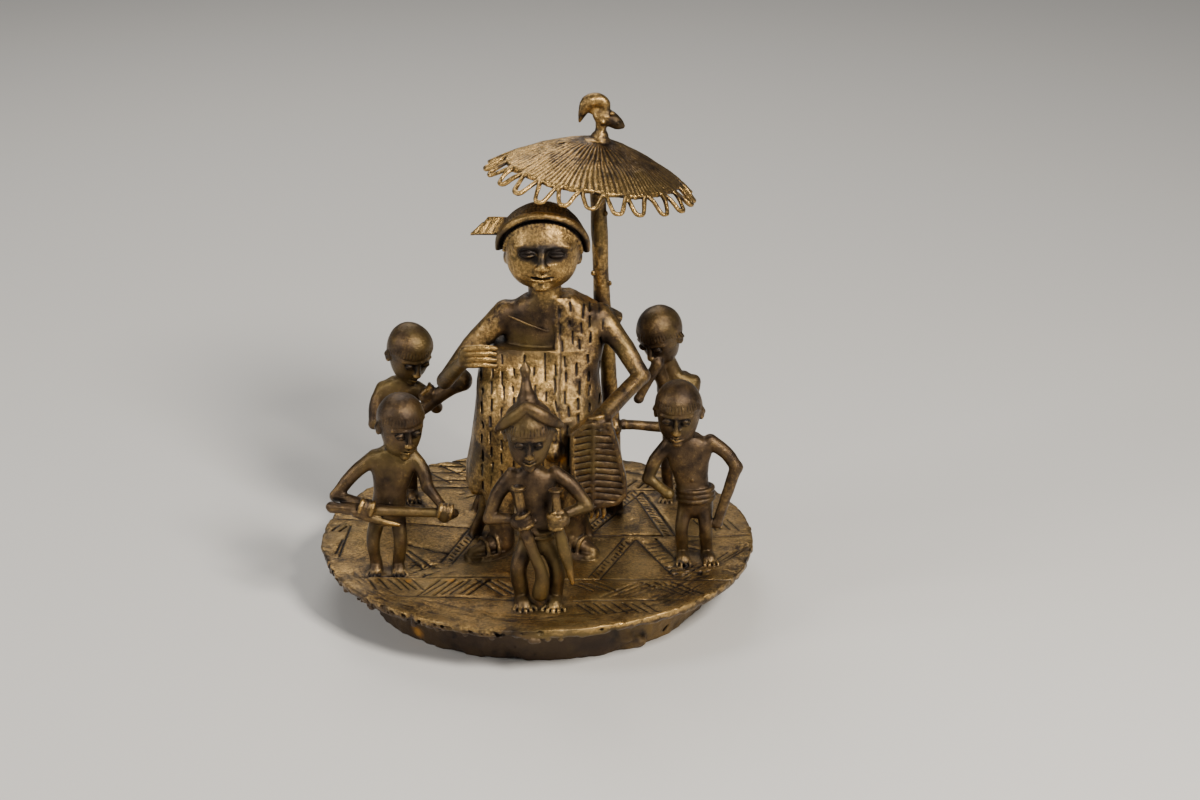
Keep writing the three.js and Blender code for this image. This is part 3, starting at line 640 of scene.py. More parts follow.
def hang(angle, z):
    """The folds of hanging cloth, deeper towards the hem."""
    return unit((86 - z) / 45) * (0.5 * np.cos(7 * angle + 0.6) + 0.35 * np.cos(11 * angle + 2))


def gown(clay):
    clay.loft(WRAP, soft=0.6, power=3.5, ripple=hang)
    clay.loft(CHEST, soft=1.0, power=2.3)
    # The shawl hangs from the far shoulder to the hem, and its straight edge runs down the middle.
    low, high = (4, -20, 38), (32, 30, 116)
    w = clay.window(low, high)
    shawl = Clay([t[s] for t, s in zip(clay.ticks, clay.cuts(low, high))])
    shawl.loft(SHAWL, soft=0.4, power=3.0, ripple=hang)
    edge = 6.2 - w.x + 0.5 * np.sin(w.z * 0.22) + 0.25 * np.sin(w.z * 0.9)
    near = np.clip(1.6 - np.abs(shawl.field - edge), 0, None)
    w.add(np.maximum(shawl.field, edge) + near * near * 0.16, 0.5)


def punched(clay, columns, heights, front, random, length=3.0):
    """Short upright strokes punched in columns into the cloth, on the front or the back of it."""
    for k, x in enumerate(columns):
        for z in np.arange(heights[0] + 2.4 * (k % 2), heights[1], 5.6):
            at = x + random.normal(0, 0.45)
            foot, top = z + random.normal(0, 0.6), z + length + random.normal(0, 0.6)
            w = clay.window((at - 1, -22 if front else 8, foot - 1), (at + 1, 8 if front else 32, top + 1))
            w.press(groove(w.stroke((at, foot), (at + random.normal(0, 0.2), top)), 0.42, 0.65) + 0 * w.y)


def cloth_marks(clay, random):
    punched(clay, np.arange(-20, 24, 3.9), (44, 90), True, random)
    punched(clay, np.arange(-20, 24, 5.2), (46, 90), False, random)
    punched(clay, np.arange(9, 24, 3.6), (94, 109), True, random)
    punched(clay, np.arange(9, 24, 4.4), (94, 108), False, random)
    # The shawl's edge stands a little off the wrap, with a worked line beside it.
    w = clay.window((4, -21, 44), (10, 6, 110))
    w.press(groove(np.abs(w.x - 8.4 - 0.35 * np.sin(w.z * 0.22)) + 0 * w.z, 0.4, 0.3) + 0 * w.y)
    # A thin cord lies across the bare chest.
    cord = [(-9.8, 0.9, 106.2), (-5.4, 0.9, 104.1), (-0.8, 0.6, 102.2), (4.4, 0.9, 100.2)]
    clay.tube(cord, [0.3, 0.36, 0.36, 0.3], soft=0.3, fine=4)
    # The hollows between the arms and the cloth.
    for place, half in (((-12.8, -1.6, 96.4), (2.6, 4.0, 3.6)), ((23.6, -2, 94), (1.5, 4.0, 6))):
        w = clay.around([place], 9)
        w.cut(w.ball(place, half), 1.0)


def sandal(clay, heel, toe):
    heel, toe = vec(heel), vec(toe)
    along = toe - heel
    length = np.linalg.norm(along)
    yaw = math.atan2(along[1], along[0])
    middle = (heel + toe) / 2
    w = clay.around([(*heel, DECK), (*toe, DECK)], 8, (*middle, DECK), turning(yaw))
    u = w.x / (length / 2)
    half = 5.2 * unit(1 - u * u) ** 0.5 * (1 + 0.15 * u)
    sole = np.maximum(np.abs(w.y) - half, np.maximum(np.abs(w.x) - length / 2, np.abs(w.z - 0.8) - 1.5))
    w.add(sole + 0.2, 0.3)
    foot = [(*(heel + along * share), DECK + high) for share, high in ((0.2, 4.2), (0.55, 3.6), (0.84, 2.6))]
    clay.tube(foot, [3.8, 3.2, 2.2], soft=0.8)
    side = np.array([-along[1], along[0]]) / length
    for share, wide, high in ((0.42, 4.6, 6.9), (0.62, 4.2, 6.0)):
        over = heel + along * share
        arch = ((-1, 2), (-0.6, high), (0, high + 1), (0.6, high), (1, 2))
        strap = [(*(over + side * wide * across), DECK + rise) for across, rise in arch]
        clay.tube(strap, [0.8] * 5, soft=0.2, fine=3)


def fan(clay, random):
    corners = [(12.6, 70), (17.6, 73.6), (26.6, 74.4), (29.4, 64), (32, 52), (32.2, 46.4), (29.4, 43.2),
               (18, 40.6), (14.6, 46.5), (12.8, 56)]
    w = clay.window((8, -30, 36), (36, -12, 79))
    flat = w.outline(corners)
    spine = 0.6 * unit(1 - np.abs(w.x - 20.4) / 1.3)
    rim = 0.2 * unit(1 - np.abs(flat + 0.7) / 0.6)
    own = w.own(np.maximum(flat, np.abs(w.y + 20.6) - 2.6) - 0.5)
    own.press(-np.where(np.abs(w.y + 20.6) > 1.5, spine + rim, 0))
    for i in range(13):
        z = 42.4 + i * 2.5
        left = groove(own.stroke((11, z - 2.0 + random.normal(0, 0.2)), (19.6, z)), 0.36, 0.5)
        right = groove(own.stroke((21.2, z + random.normal(0, 0.2)), (31.4, z - 0.8)), 0.36, 0.5)
        own.press(np.where(flat < -1.1, left + right, 0))
    w.add(own.field, 0.3, own.marks)
    for x in (19.6, 21.6, 23.8):
        tassel = [(x, -20.6, 41.4), (x + 0.6, -21, 38.4), (x + 0.2, -21.4, 36.8)]
        clay.tube(tassel, [0.95, 0.9, 0.5], soft=0.3)


def cap(clay):
    turn = turning(0, -CAP_TILT)
    w = clay.around([CHIEF_HEAD], CAP_RADIUS + 6, CHIEF_HEAD, turn)
    height = w.x * turn[2, 0] + w.y * turn[2, 1] + w.z * turn[2, 2] + CHIEF_HEAD[2]
    shape = np.maximum(np.sqrt(w.x ** 2 + w.y ** 2 + w.z ** 2) - CAP_RADIUS, -w.z)
    # Fine stitches run back from the rim, and rings cross them further up.
    around, out = np.arctan2(w.x, -w.y), np.hypot(w.x, w.y)
    lines = np.abs((around * 68 / (2 * math.pi) + 0.15 * np.sin(w.z * 2)) % 1 - 0.5)
    rings = np.abs((w.z * 0.62 + 0.2 * np.sin(around * 5)) % 1 - 0.5)
    scored = 0.4 * unit(1 - lines / 0.2) * (w.z > 1.4) + 0.25 * unit(1 - rings / 0.14) * (w.z > 4)
    rim = np.hypot(out - (CAP_RADIUS - 0.3), (w.z - 0.5) * 0.72) - 1.25
    # A hatched band of hair shows below the rim.
    hatched = 0.8 + 0.22 * np.cos(around * 60 + w.z * 3)
    hair = np.hypot(out - (CAP_RADIUS - 2.6), w.z + 1.6) - hatched
    shape = np.minimum(np.minimum(shape + scored, rim), hair)
    # A dark band just under the rim is a painted shadow. It goes only into the marks, which the material
    # darkens, and not into the shape.
    under = unit(1 - np.hypot(out - (CAP_RADIUS - 1.2), w.z + 0.8) / 1.2) * 0.6
    front = 129 + 0.4 * np.sin(around * 3) - height
    w.add(np.maximum(shape, front).astype(np.float32), 0.2, scored + under)


def cap_flap(clay):
    centre = (-11.4, 9, 137)
    w = clay.around([centre], 17, centre, turning(0, -0.6))
    flat = w.outline([(-12, -2.6), (-1.2, -2.6), (5, 0), (3, 3.2), (-5.6, 3.6)])
    own = w.own(np.maximum(flat, np.abs(w.y) - 0.9) - 0.2)
    for x in (-8, -5.4, -2.6):
        own.press(groove(own.stroke((x - 1.4, -2), (x + 1.4, 3)), 0.3, 0.25))
    w.add(own.field, 0.4, own.marks)


def chief(clay, random):
    stool(clay)
    gown(clay)
    cloth_marks(clay, random)
    fan(clay, random)
    clay.tube([(3.4, 8.6, 108), (2.6, 8, 121)], [6.2, 5.8], soft=1.5)
    head(clay, CHIEF_HEAD, 0, -0.08, CHIEF_HEAD_SIZE, 0, ear=(0.9, -0.13), jaw=0.87)
    cap(clay)
    cap_flap(clay)
    clay.tube([(-11.2, 9.4, 104.6), (-23.4, 5, 93), (-33.2, 0, 81.6)], [4.8, 3.9, 3.0], soft=1.8)
    clay.tube([(-33, 0, 81.8), (-25.2, -11.4, 94)], [3.0, 2.5], soft=0.8)
    clay.ball((-25.4, -12.2, 95.4), (2.4, 2.0, 4.2), soft=0.8)
    for i in range(4):
        finger = [(-24.6, -13.4, 99 - 2.1 * i), (-19, -13.9, 99.6 - 2.15 * i), (-14.2, -14, 99.4 - 2.2 * i)]
        clay.tube(finger, [1.12, 1.12, 0.9], soft=0.1)
    clay.tube([(23, 9.4, 103.4), (31.6, 5, 92.8), (38, 0, 83.4)], [4.7, 3.9, 3.1], soft=1.8)
    clay.tube([(38, 0, 83.6), (23.4, -18, 74.6)], [3.0, 3.3], soft=0.8)
    fist(clay, (21.8, -19.6, 73), (1, -0.3, 0.3), (-0.1, -1, 0.2), 1.15)
    # The shawl's knot behind the shoulder, and a round box on the lap.
    w = clay.around([(27.8, 12, 101.6)], 8, (27.8, 12, 101.6), turning(0, 0, 0.5))
    w.add(w.slab((0, 0, 0), (2.9, 3, 2.5), 0.9), 0.6)
    clay.ball((6.4, -14, 60), (4.0, 3.4, 4.4), soft=0.4)
    clay.ball((6.4, -17.2, 60), (1.6, 1.0, 1.8), soft=0.3)
    for side, heel, toe in ((-1, (-8.6, -11.5), (-26, -22.5)), (1, (9.4, -10.5), (22, -21))):
        ankle = (heel[0] + 4 * side, heel[1] - 3, DECK + 4)
        clay.tube([(14 * side, -9, 50), ankle], [6.0, 4.2], soft=1.0)
        sandal(clay, heel, toe)


# ---- umbrella ----
def pole(clay):
    line = [(28.4, 23.6, DECK), (27.2, 23.2, 59), (26, 22.4, 78), (23.7, 21.6, 105), (22.4, 21.2, 140),
            (21.6, 21, 166)]
    clay.tube(line, [3.4, 3.1, 3.0, 3.0, 2.9, 2.5], soft=1.0)
    for x, y, z, size in (
        (25.0, 19.2, 139, 0.8), (20.4, 19.6, 116, 0.9), (26.6, 20, 112, 0.8), (27.6, 20.6, 78, 0.9),
        (24.6, 24.6, 98, 0.8), (29.6, 24, 48, 0.9),
    ):
        clay.ball((x, y, z), (size, size, 1.3 * size), soft=0.4)


def canopy(clay, centre, turn):
    size = CANOPY_RADIUS + 9
    w = clay.window(centre - (size, size, 18), centre + (size, size, 22), centre, turn)
    out, angle = np.hypot(w.x, w.y), np.arctan2(w.y, w.x)
    heights = [CANOPY_RISE + 0.4, CANOPY_RISE, 9.8, 5.5, 0.4, -6]
    top = np.interp(out, [0, 3.2, 11, 22, CANOPY_RADIUS, 45], heights)
    under = np.interp(out, [0, 16, CANOPY_RADIUS - 0.6, 45], [9, 4.2, -1.1, -7])
    # Scored rays run from the crown to the rim, twice as many outside as near the crown.
    wander = 0.25 * np.sin(out * 0.16 + 5 * angle) + 0.06 * np.sin(13 * angle)
    turns = angle * 50 / (2 * math.pi) + wander
    few = np.abs(turns % 1 - 0.5) * out * 0.126
    many = np.abs((turns + 0.5) % 1 - 0.5) * out * 0.126
    lines = groove(few, 0.44, 0.42) * (out > 5) + groove(many, 0.4, 0.34) * (out > 16)
    edge = out - CANOPY_RADIUS + 0.3 * np.sin(7 * angle) + 0.2 * np.sin(19 * angle)
    shape = np.maximum(np.maximum((w.z - top) * 0.92 + lines, (under - w.z) * 0.92), edge)
    w.add(shape.astype(np.float32), 0.5, 0.6 * lines * (w.z > top - 1.5))
    pit = turn @ np.array([-12.5, -3.5, 9.0]) + centre
    w = clay.around([pit], 3)
    w.cut(w.ball(pit, (1.3, 1.2, 1.0)), 0.3)


def fringe(clay, centre, turn, random):
    """One wire bent up and down, touching the rim between its loops."""
    step = 2 * math.pi / LOOP_COUNT
    for i in range(LOOP_COUNT):
        sway = random.normal(0, 0.05)
        reach = CANOPY_RADIUS + LOOP_REACH + random.normal(0, 0.5)
        drop = -LOOP_DROP + random.normal(0, 0.4) - 0.5
        rim, neck = (CANOPY_RADIUS - 0.6, -0.3), (CANOPY_RADIUS + 2.4, -2.0)
        low, tip = (reach - 0.8, drop + 0.4), (reach, drop - 0.1)
        turns = (-0.47, sway - 0.33, sway - 0.17, sway, sway + 0.17, sway + 0.33, 0.47)
        wire = []
        for share, (radius, z) in zip(turns, (rim, neck, low, tip, low, neck, rim)):
            a = (i + share) * step
            wire.append(turn @ np.array([radius * math.cos(a), radius * math.sin(a), z]) + centre)
        clay.tube(wire, [WIRE_RADIUS] * 7, soft=0.25, fine=3)


def finial(clay):
    """A bird that turns its neck back: a hooked wing, a leaf-shaped head and a stem."""
    wing = [(24.6, 21, 175), (24.6, 21, 179.2), (22.2, 21, 181), (18.6, 21, 180), (16.8, 21, 176.4),
            (15.7, 21, 173)]
    clay.tube(wing, [1.9, 2.0, 2.4, 2.5, 1.7, 0.6], soft=0.6, fine=3)
    clay.ball((20.6, 21, 178.2), (2.4, 1.2, 2.6), soft=0.8)
    beak = [(22.4, 21, 175.4), (25.6, 21, 174.6), (28.8, 21, 172.6), (31.0, 21, 171.2)]
    clay.tube(beak, [2.0, 2.9, 2.5, 1.1], soft=0.5, fine=3)
    for x, z, size in ((27.4, 176.6, 0.9), (24.2, 173.4, 0.8), (29.6, 173.0, 0.6)):
        clay.ball((x, 18.4, z), size, soft=0.2)
    clay.tube([(23, 21, 166.6), (23.2, 21, 169.4), (23.4, 21, 174.6)], [3.4, 2.1, 1.9], soft=1.5, fine=3)


def umbrella(clay, random):
    centre, turn = np.array(UMBRELLA_CENTRE), turning(0, UMBRELLA_NOD, UMBRELLA_LEAN)
    pole(clay)
    canopy(clay, centre, turn)
    fringe(clay, centre, turn, random)
    finial(clay)


# ---- the casting's mesh ----
def meshed(clay, name):
    limit = 3 * VOXEL
    grid = openvdb.FloatGrid(limit)
    grid.copyFromArray(np.clip(clay.field, -limit, limit))
    points, triangles, quads = grid.convertToPolygons(isovalue=0.0, adaptivity=0.0)
    points = (points * VOXEL + clay.low) * MM
    mesh = bpy.data.meshes.new(name)
    mesh.vertices.add(len(points))
    mesh.vertices.foreach_set("co", points.astype(np.float32).ravel())
    corners = np.concatenate([triangles.ravel(), quads.ravel()]).astype(np.int32)
    starts = np.concatenate([np.arange(len(triangles)) * 3, len(triangles) * 3 + np.arange(len(quads)) * 4])
    mesh.loops.add(len(corners))
    mesh.loops.foreach_set("vertex_index", corners)
    mesh.polygons.add(len(starts))
    mesh.polygons.foreach_set("loop_start", starts.astype(np.int32))
    mesh.update(calc_edges=True)
    mesh.validate()
    return mesh


def shrunk(mesh, name):
    """The mesh with its flat places in fewer triangles."""
    piece = bpy.data.objects.new(name, mesh)
    bpy.context.scene.collection.objects.link(piece)
    count = sum(len(p.vertices) - 2 for p in mesh.polygons)
    thin = piece.modifiers.new("thin", "DECIMATE")
    thin.ratio = min(1.0, TRIANGLES / count)
    graph = bpy.context.evaluated_depsgraph_get()
    result = bpy.data.meshes.new_from_object(piece.evaluated_get(graph))
    piece.modifiers.clear()
    piece.data = result
    result.name = name
    bpy.data.meshes.remove(mesh)
    return piece


def one_body(mesh):
    """The mesh without the crumbs and bubbles that are apart from its main body."""
    work = bmesh.new()
    work.from_mesh(mesh)
    left, main = set(work.verts), set()
    while len(left) > len(main):
        start = left.pop()
        body, edge = {start}, [start]
        while edge:
            near = {v for link in edge.pop().link_edges for v in link.verts if v in left}
            left -= near
            body |= near
            edge.extend(near)
        main = max(main, body, key=len)
    bmesh.ops.delete(work, geom=[v for v in work.verts if v not in main], context="VERTS")
    bmesh.ops.dissolve_degenerate(work, dist=0.000008, edges=work.edges)
    bmesh.ops.triangulate(work, faces=work.faces)
    work.to_mesh(mesh)
    work.free()


def blended(cell, part, values):
    """Values on a grid, blended between the eight corners of each cell; part is the place inside it."""
    total = 0
    for corner in range(8):
        step = np.array([corner & 1, corner >> 1 & 1, corner >> 2])
        weight = np.where(step, part, 1 - part).prod(1)
        index = (cell + step) % values.shape
        total = total + weight * values[index[:, 0], index[:, 1], index[:, 2]]
    return total


def dappled(points, size, random):
    """Smooth random values from -1 to 1 that vary over size millimetres."""
    lattice = random.uniform(-1, 1, (LATTICE,) * 3).astype(np.float32)
    at = points / size + 400
    cell = np.floor(at).astype(int)
    part = (at - cell).astype(np.float32)
    return blended(cell, part * part * (3 - 2 * part), lattice)


def listed(data, name):
    """A mesh's positions or normals as rows of x, y and z."""
    flat = np.empty(len(data) * 3, np.float32)
    data.foreach_get(name, flat)
    return flat.reshape(-1, 3)


def handworked(mesh, random):
    """The unevenness of a hand-modelled wax and a cast skin, kept inside the CAD's box."""
    points, normals = listed(mesh.vertices, "co"), listed(mesh.vertex_normals, "vector")
    mm = points / MM
    out = np.hypot(mm[:, 0], mm[:, 1])
    rim = unit((out - 75) / 3)
    foot = unit((17 - mm[:, 2]) / 2) * (out > 61)
    flat = unit((mm[:, 2] - DECK - 1) / 2)
    amount = (0.1 + 0.12 * flat + 0.3 * rim + 0.35 * foot) * dappled(mm, 7, random)
    amount = amount + (0.04 + 0.05 * flat + 0.4 * rim + 0.35 * foot) * dappled(mm, 2.4, random)
    wool = (mm[:, 0] > 6.5) & (mm[:, 0] < 27) & (mm[:, 1] < 21) & (mm[:, 2] > 93) & (mm[:, 2] < 113)
    amount = amount + 0.16 * wool * dappled(mm, 1.3, random)
    moved = points + normals * (amount * MM)[:, None]
    moved = np.clip(moved, np.array(cad_low) + 0.00002, np.array(cad_high) - 0.00002)
    mesh.vertices.foreach_set("co", moved.astype(np.float32).ravel())
    mesh.update()


def sampled(clay, points, field=None):
    """The clay's field at points in millimetres, blended between its voxels."""
    field = clay.field if field is None else field
    at = np.clip((points - clay.low) / VOXEL, 0, np.array(field.shape) - 1.001)
    cell = at.astype(int)
    return blended(cell, at - cell, field)


def give(mesh, name, values):
    mesh.attributes.new(name, "FLOAT", "POINT").data.foreach_set("value", unit(values).astype(np.float32))


# Bits of bright earth and green corrosion: two on the plate, one on the foot and one on the lap box.
OCHRE_BITS = (
    ((-45.4, -39.2, DECK), 0.9), ((-30.4, -38.4, DECK), 1.0),
    ((-42, -47.6, 4), 1.8), ((9.6, -15.6, 57.4), 1.3),
)


def sheltered(clay, points, normals):
    """How shut in each place is, and how deep tools have pressed it in, for painted shade and dirt in the
    hollows.
    """
    hollow = 0
    for reach, share in ((0.7, 0.9), (1.8, 0.55), (4.0, 0.4)):
        hollow = hollow + share * (1 - np.clip(sampled(clay, points + normals * reach), 0, reach) / reach)
    x, y, z = points.T
    # The chief's face gets less painted shade in its hollows.
    face = (z > 112) & (z < 134) & (y < 3) & (np.abs(x - 2.4) < 13)
    hollow = hollow * (1 - 0.6 * face)
    return 0.85 * hollow + 2.8 * sampled(clay, points - normals * 0.15, clay.marks)


def exposed(clay, points, normals):
    """How far each place stands out, where hands rub it."""
    worn = 0
    for reach, share in ((1.0, 0.5), (2.6, 0.9)):
        depth = np.clip(-sampled(clay, points - normals * reach), 0, reach) / reach
        worn = worn + share * unit(1 - depth)
    return worn


def surveyed(mesh, clay):
    """Where dirt and painted shade gather, where hands have rubbed, where highlights and shade are painted on
    the rim, foot and chest, and how each part has aged, for the material.
    """
    points, normals = listed(mesh.vertices, "co") / MM, listed(mesh.vertex_normals, "vector")
    x, y, z = points.T
    turn, out = np.arctan2(y, x), np.hypot(x, y)
    chief_part = unit(1 - np.hypot((x - 3) / 40, (y - 5) / 31) ** 6) * unit((z - 30) / 12)
    cap_part = unit((np.hypot(x - 2.4, z - 131) - 13) / 2) * (z > 128) * (z < 149) * (y < 24)
    chest_part = unit(1 - ((x + 3) / 13) ** 4) * unit(1 - ((z - 101) / 13) ** 4) * (y < 12)
    shawl_part = unit((x - 6) / 2) * unit((27 - x) / 2) * unit((112 - z) / 3) * (y > -19)
    umbrella_part = unit((z - 146) / 4)
    pole_part = unit((6 - np.hypot(x - 24, y - 22)) / 2) * unit((z - 22) / 3) * (1 - umbrella_part)
    arm_part = unit((np.abs(x - 3) - 22.5) / 2) * unit((z - 72) / 4)
    rim_part = unit((out - 77.2) / 1.2) * unit(1.4 - np.abs(z - DECK + 0.2))
    # On the chest, this dulling and the lack of rubbing on the next line are painted shade.
    dulled_and_shaded = np.maximum.reduce([0.95 * chest_part, 0.45 * shawl_part, 0.6 * cap_part, 0.4 * arm_part])
    kept = 1 - np.maximum.reduce([0.6 * chest_part, 0.7 * pole_part, 0.2 * shawl_part])
    feet = np.clip((z - DECK - 1.2) / 3, 0.25, 1)
    # The rim is worn bright all round, and brighter still at the front right as a painted highlight.
    rim_wear_and_highlight = rim_part * (0.3 + unit(1 - ((turn + 0.95) / 0.45) ** 2))
    # The foot is golden towards its front right: gold patches, with its lit side painted lighter.
    foot_gold_and_lit_side = unit(1 - ((turn + 0.72) / 0.5) ** 2) * (z < 17)
    bits = np.zeros(len(x))
    for place, size in OCHRE_BITS:
        bits = np.maximum(bits, 1.6 - np.linalg.norm(points - place, axis=1) / size)
    give(mesh, "hollow", sheltered(clay, points, normals) - 0.1)
    # The worn attribute also holds the rim's painted highlight, and the chest's painted shade keeps its wear
    # low.
    give(mesh, "worn", 0.8 * exposed(clay, points, normals) * feet * kept + rim_wear_and_highlight)
    # On the foot, the gilt also paints its lit front right.
    give(mesh, "gilt", np.maximum.reduce([chief_part * (1 - dulled_and_shaded), 0.22 * umbrella_part, foot_gold_and_lit_side]))
    give(mesh, "deck", np.abs(z - DECK) < 1.6)
    # The foot below the plate takes the dark rust colour, which also paints its shade.
    give(mesh, "rust_and_shade", unit((17.6 - z) / 1.5))
    give(mesh, "ochre", bits)


random = np.random.default_rng(SEED)
ticks = []
for start, end in BLOCK:
    count = math.ceil((end - start) / VOXEL) + 1
    ticks.append((start + VOXEL * np.arange(count, dtype=np.float32)).astype(np.float32))
clay = Clay(ticks)
base(clay, random)
ragged_rim(clay, random)
foot_flaws(clay)
plate_pattern(clay, random)
plate_wear(clay, random)
chief(clay, random)
umbrella(clay, random)
sword_bearer(clay)
gun_bearer(clay)
hand_on_hip_attendant(clay)
horn_blower(clay)
umbrella_bearer(clay)
fine_mesh = meshed(clay, "casting_fine")
handworked(fine_mesh, random)
casting = shrunk(fine_mesh, "brass_figure_group")
one_body(casting.data)
casting.data.polygons.foreach_set("use_smooth", [True] * len(casting.data.polygons))
surveyed(casting.data, clay)


# ---- material ----
class Nodes:
    """A small helper for writing a node material as an expression."""

    def __init__(self, material):
        self.tree = material.node_tree
        self.place = self.node("ShaderNodeTexCoord").outputs["Object"]

    def node(self, kind, **settings):
        made = self.tree.nodes.new(kind)
        for name, value in settings.items():
            setattr(made, name, value)
        return made

    def link(self, value, socket):
        if isinstance(value, bpy.types.NodeSocket):
            self.tree.links.new(value, socket)
        else:
            socket.default_value = value

    def maths(self, operation, a, b):
        made = self.node("ShaderNodeMath", operation=operation)
        self.link(a, made.inputs[0])
        self.link(b, made.inputs[1])
        return made.outputs[0]

    def noise(self, scale, detail=4.0, rough=0.6):
        made = self.node("ShaderNodeTexNoise")
        made.inputs["Scale"].default_value = scale
        made.inputs["Detail"].default_value = detail
        made.inputs["Roughness"].default_value = rough
        self.link(self.place, made.inputs["Vector"])
        return made.outputs["Fac"]

    def between(self, value, low, high, start=0.0, end=1.0):
        made = self.node("ShaderNodeMapRange")
        self.link(value, made.inputs["Value"])
        for name, number in (("From Min", low), ("From Max", high), ("To Min", start), ("To Max", end)):
            made.inputs[name].default_value = number
        return made.outputs[0]

    def mix(self, share, a, b):
        made = self.node("ShaderNodeMix", data_type="RGBA")
        self.link(share, made.inputs["Factor"])
        colours = [socket for socket in made.inputs if socket.type == "RGBA"]
        self.link(a if isinstance(a, bpy.types.NodeSocket) else (*a, 1), colours[0])
        self.link(b if isinstance(b, bpy.types.NodeSocket) else (*b, 1), colours[1])
        return [socket for socket in made.outputs if socket.type == "RGBA"][0]

    def plus(self, a, b):
        return self.maths("ADD", a, b)

    def less(self, a, b):
        return self.maths("SUBTRACT", a, b)

    def times(self, a, b):
        return self.maths("MULTIPLY", a, b)

    def most(self, a, b):
        return self.maths("MAXIMUM", a, b)

    def attribute(self, name):
        return self.node("ShaderNodeAttribute", attribute_name=name).outputs["Fac"]


BRASS_BRIGHT = (0.66, 0.42, 0.15)
BRASS_DULL = (0.28, 0.17, 0.055)
PATINA_BROWN = (0.1, 0.061, 0.029)
PATINA_DARK = (0.028, 0.017, 0.01)
PATINA_OLIVE = (0.13, 0.086, 0.027)
# Near black: painted shade and dirt in the hollows and marks.
SHADE_AND_DIRT = (0.012, 0.008, 0.006)
DUST = (0.19, 0.128, 0.055)
# Dark enough to paint the foot's shade as well as its rust.
RUST_AND_SHADE = (0.04, 0.021, 0.011)
OLD_GOLD = (0.24, 0.15, 0.05)
OCHRE = (0.5, 0.23, 0.03)


def rubbing(n, hollow, gilt, deck, mid, fine):
    """How far each place is rubbed down to bright metal; on the rim's front right this is a painted
    highlight.
    """
    worn = n.attribute("worn")
    speck = n.plus(n.between(mid, 0.34, 0.66, -0.5, 0.5), n.between(fine, 0.34, 0.66, -0.5, 0.5))
    speck = n.times(speck, n.between(n.most(gilt, deck), 0, 1, 0.24, 0.6))
    edges = n.plus(n.times(worn, 0.2), n.between(worn, 0.5, 1.0, 0, 0.65))
    rubbed = n.plus(n.plus(edges, n.times(gilt, 0.5)), n.times(deck, 0.42))
    rubbed = n.less(n.plus(rubbed, speck), n.times(hollow, 1.25))
    return n.between(rubbed, 0.05, 0.95)


def metal_colour(n, rubbed, mid, fine):
    patina = n.mix(n.between(mid, 0.35, 0.62), PATINA_DARK, PATINA_BROWN)
    patina = n.mix(n.between(n.noise(38), 0.48, 0.66), patina, PATINA_OLIVE)
    metal = n.mix(n.between(fine, 0.35, 0.65), BRASS_DULL, BRASS_BRIGHT)
    return n.mix(rubbed, patina, metal)


def soiled_and_shaded(n, colour, dusty, rust_and_shade, hollow, gilt, fine):
    """Dust on the plate, rust with painted shade and old gold with a painted lit side on the foot, bits of
    ochre, and dirt with painted shade in the hollows.
    """
    colour = n.mix(dusty, colour, DUST)
    rusted_and_shaded = n.times(rust_and_shade, n.between(n.noise(90, 6), 0.36, 0.6, 0.55, 0.95))
    golden = n.times(n.between(n.noise(60, 5), 0.42, 0.58), n.between(gilt, 0, 1, 0.1, 0.9))
    colour = n.mix(n.times(rust_and_shade, golden), n.mix(rusted_and_shaded, colour, RUST_AND_SHADE), OLD_GOLD)
    colour = n.mix(n.attribute("ochre"), colour, OCHRE)
    # Hollows and pressed marks are darkened: painted shade, with dirt.
    shade_and_dirt = n.between(n.less(hollow, n.between(fine, 0.3, 0.7, 0, 0.25)), 0.27, 0.85)
    return n.mix(shade_and_dirt, colour, SHADE_AND_DIRT)


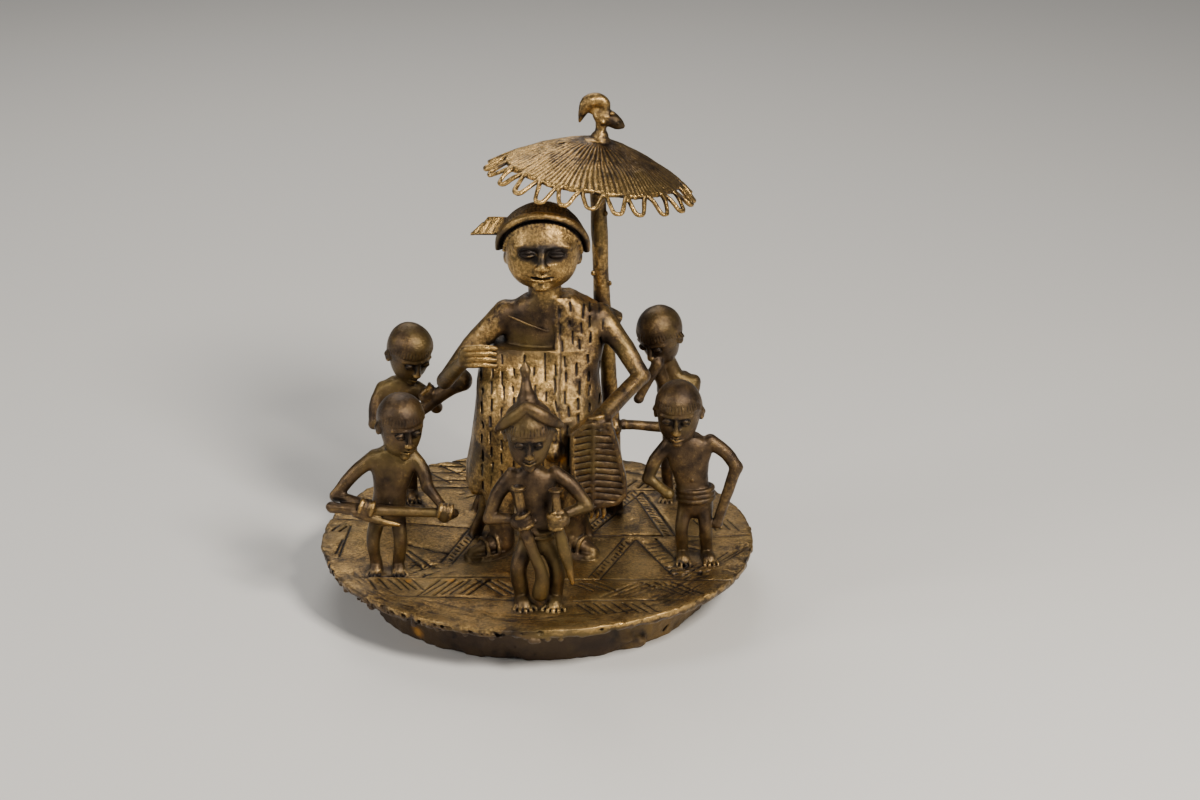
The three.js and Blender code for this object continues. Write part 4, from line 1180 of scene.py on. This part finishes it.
def brass():
    material = bpy.data.materials.new("aged_cast_brass")
    material.use_nodes = True
    n = Nodes(material)
    hollow, gilt, deck, rust_and_shade = (n.attribute(name) for name in ("hollow", "gilt", "deck", "rust_and_shade"))
    mid, fine, grain = n.noise(170, 6), n.noise(900, 5, 0.7), n.noise(2600, 3, 0.7)
    rubbed = rubbing(n, hollow, gilt, deck, mid, fine)
    dusty = n.times(deck, n.between(n.noise(70, 6), 0.44, 0.6, 0.0, 0.6))
    dusty = n.times(dusty, n.between(fine, 0.3, 0.6, 0.3, 1))
    colour = metal_colour(n, rubbed, mid, fine)
    colour = soiled_and_shaded(n, colour, dusty, rust_and_shade, hollow, gilt, fine)
    coated = n.most(dusty, n.times(rust_and_shade, 0.8))
    bare = n.less(n.between(rubbed, 0, 0.6, 0.72, 0.97), n.times(coated, 0.5))
    smooth = n.between(n.plus(rubbed, n.between(grain, 0.3, 0.7, -0.25, 0.25)), 0, 1, 0.37, 0.25)
    bump = n.node("ShaderNodeBump")
    bump.inputs["Strength"].default_value = 0.8
    bump.inputs["Distance"].default_value = 0.0004
    n.link(n.plus(n.times(fine, 0.6), n.times(grain, 0.35)), bump.inputs["Height"])
    shader = n.tree.nodes["Principled BSDF"]
    n.link(colour, shader.inputs["Base Color"])
    n.link(n.most(bare, 0.1), shader.inputs["Metallic"])
    n.link(n.plus(smooth, n.times(coated, 0.25)), shader.inputs["Roughness"])
    n.link(bump.outputs[0], shader.inputs["Normal"])
    return material


casting.data.materials.clear()
casting.data.materials.append(brass())
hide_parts("figure_group")
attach(casting, "root")


# ---- studio ----
floor_mesh = bpy.data.meshes.new("floor")
floor_mesh.from_pydata([(-20, -20, 0), (20, -20, 0), (20, 20, 0), (-20, 20, 0)], [], [(0, 1, 2, 3)])
floor = bpy.data.objects.new("floor", floor_mesh)
bpy.context.scene.collection.objects.link(floor)
paper = bpy.data.materials.new("pale_floor")
paper.use_nodes = True
paper.node_tree.nodes["Principled BSDF"].inputs["Base Color"].default_value = (0.64, 0.63, 0.61, 1)
paper.node_tree.nodes["Principled BSDF"].inputs["Roughness"].default_value = 0.9
floor_mesh.materials.append(paper)


def lamp(name, place, aim, size, power, colour):
    data = bpy.data.lights.new(name, "AREA")
    data.size, data.energy, data.color = size, power, colour
    holder = bpy.data.objects.new(name, data)
    holder.location = place
    holder.rotation_euler = (Vector(aim) - Vector(place)).to_track_quat("-Z", "Y").to_euler()
    bpy.context.scene.collection.objects.link(holder)


middle = (0.0, 0.0, 0.08)
lamp("key", (0.42, -0.55, 0.65), middle, 0.22, 12.5, (1, 0.94, 0.85))
lamp("fill", (-0.75, -0.35, 0.5), middle, 0.3, 4, (1, 0.97, 0.93))
lamp("back", (-0.15, 0.6, 0.8), middle, 0.5, 4, (1, 0.96, 0.9))
world = bpy.data.worlds.new("studio")
bpy.context.scene.world = world
world.use_nodes = True
world.node_tree.nodes["Background"].inputs["Color"].default_value = (0.8, 0.82, 0.85, 1)
world.node_tree.nodes["Background"].inputs["Strength"].default_value = 0.15

lens = bpy.data.cameras.new("camera")
lens.lens = 85
camera = bpy.data.objects.new("camera", lens)
camera.location = CAMERA_PLACE
camera.rotation_euler = (CAMERA_TILT, 0, 0)
bpy.context.scene.collection.objects.link(camera)
bpy.context.scene.camera = camera
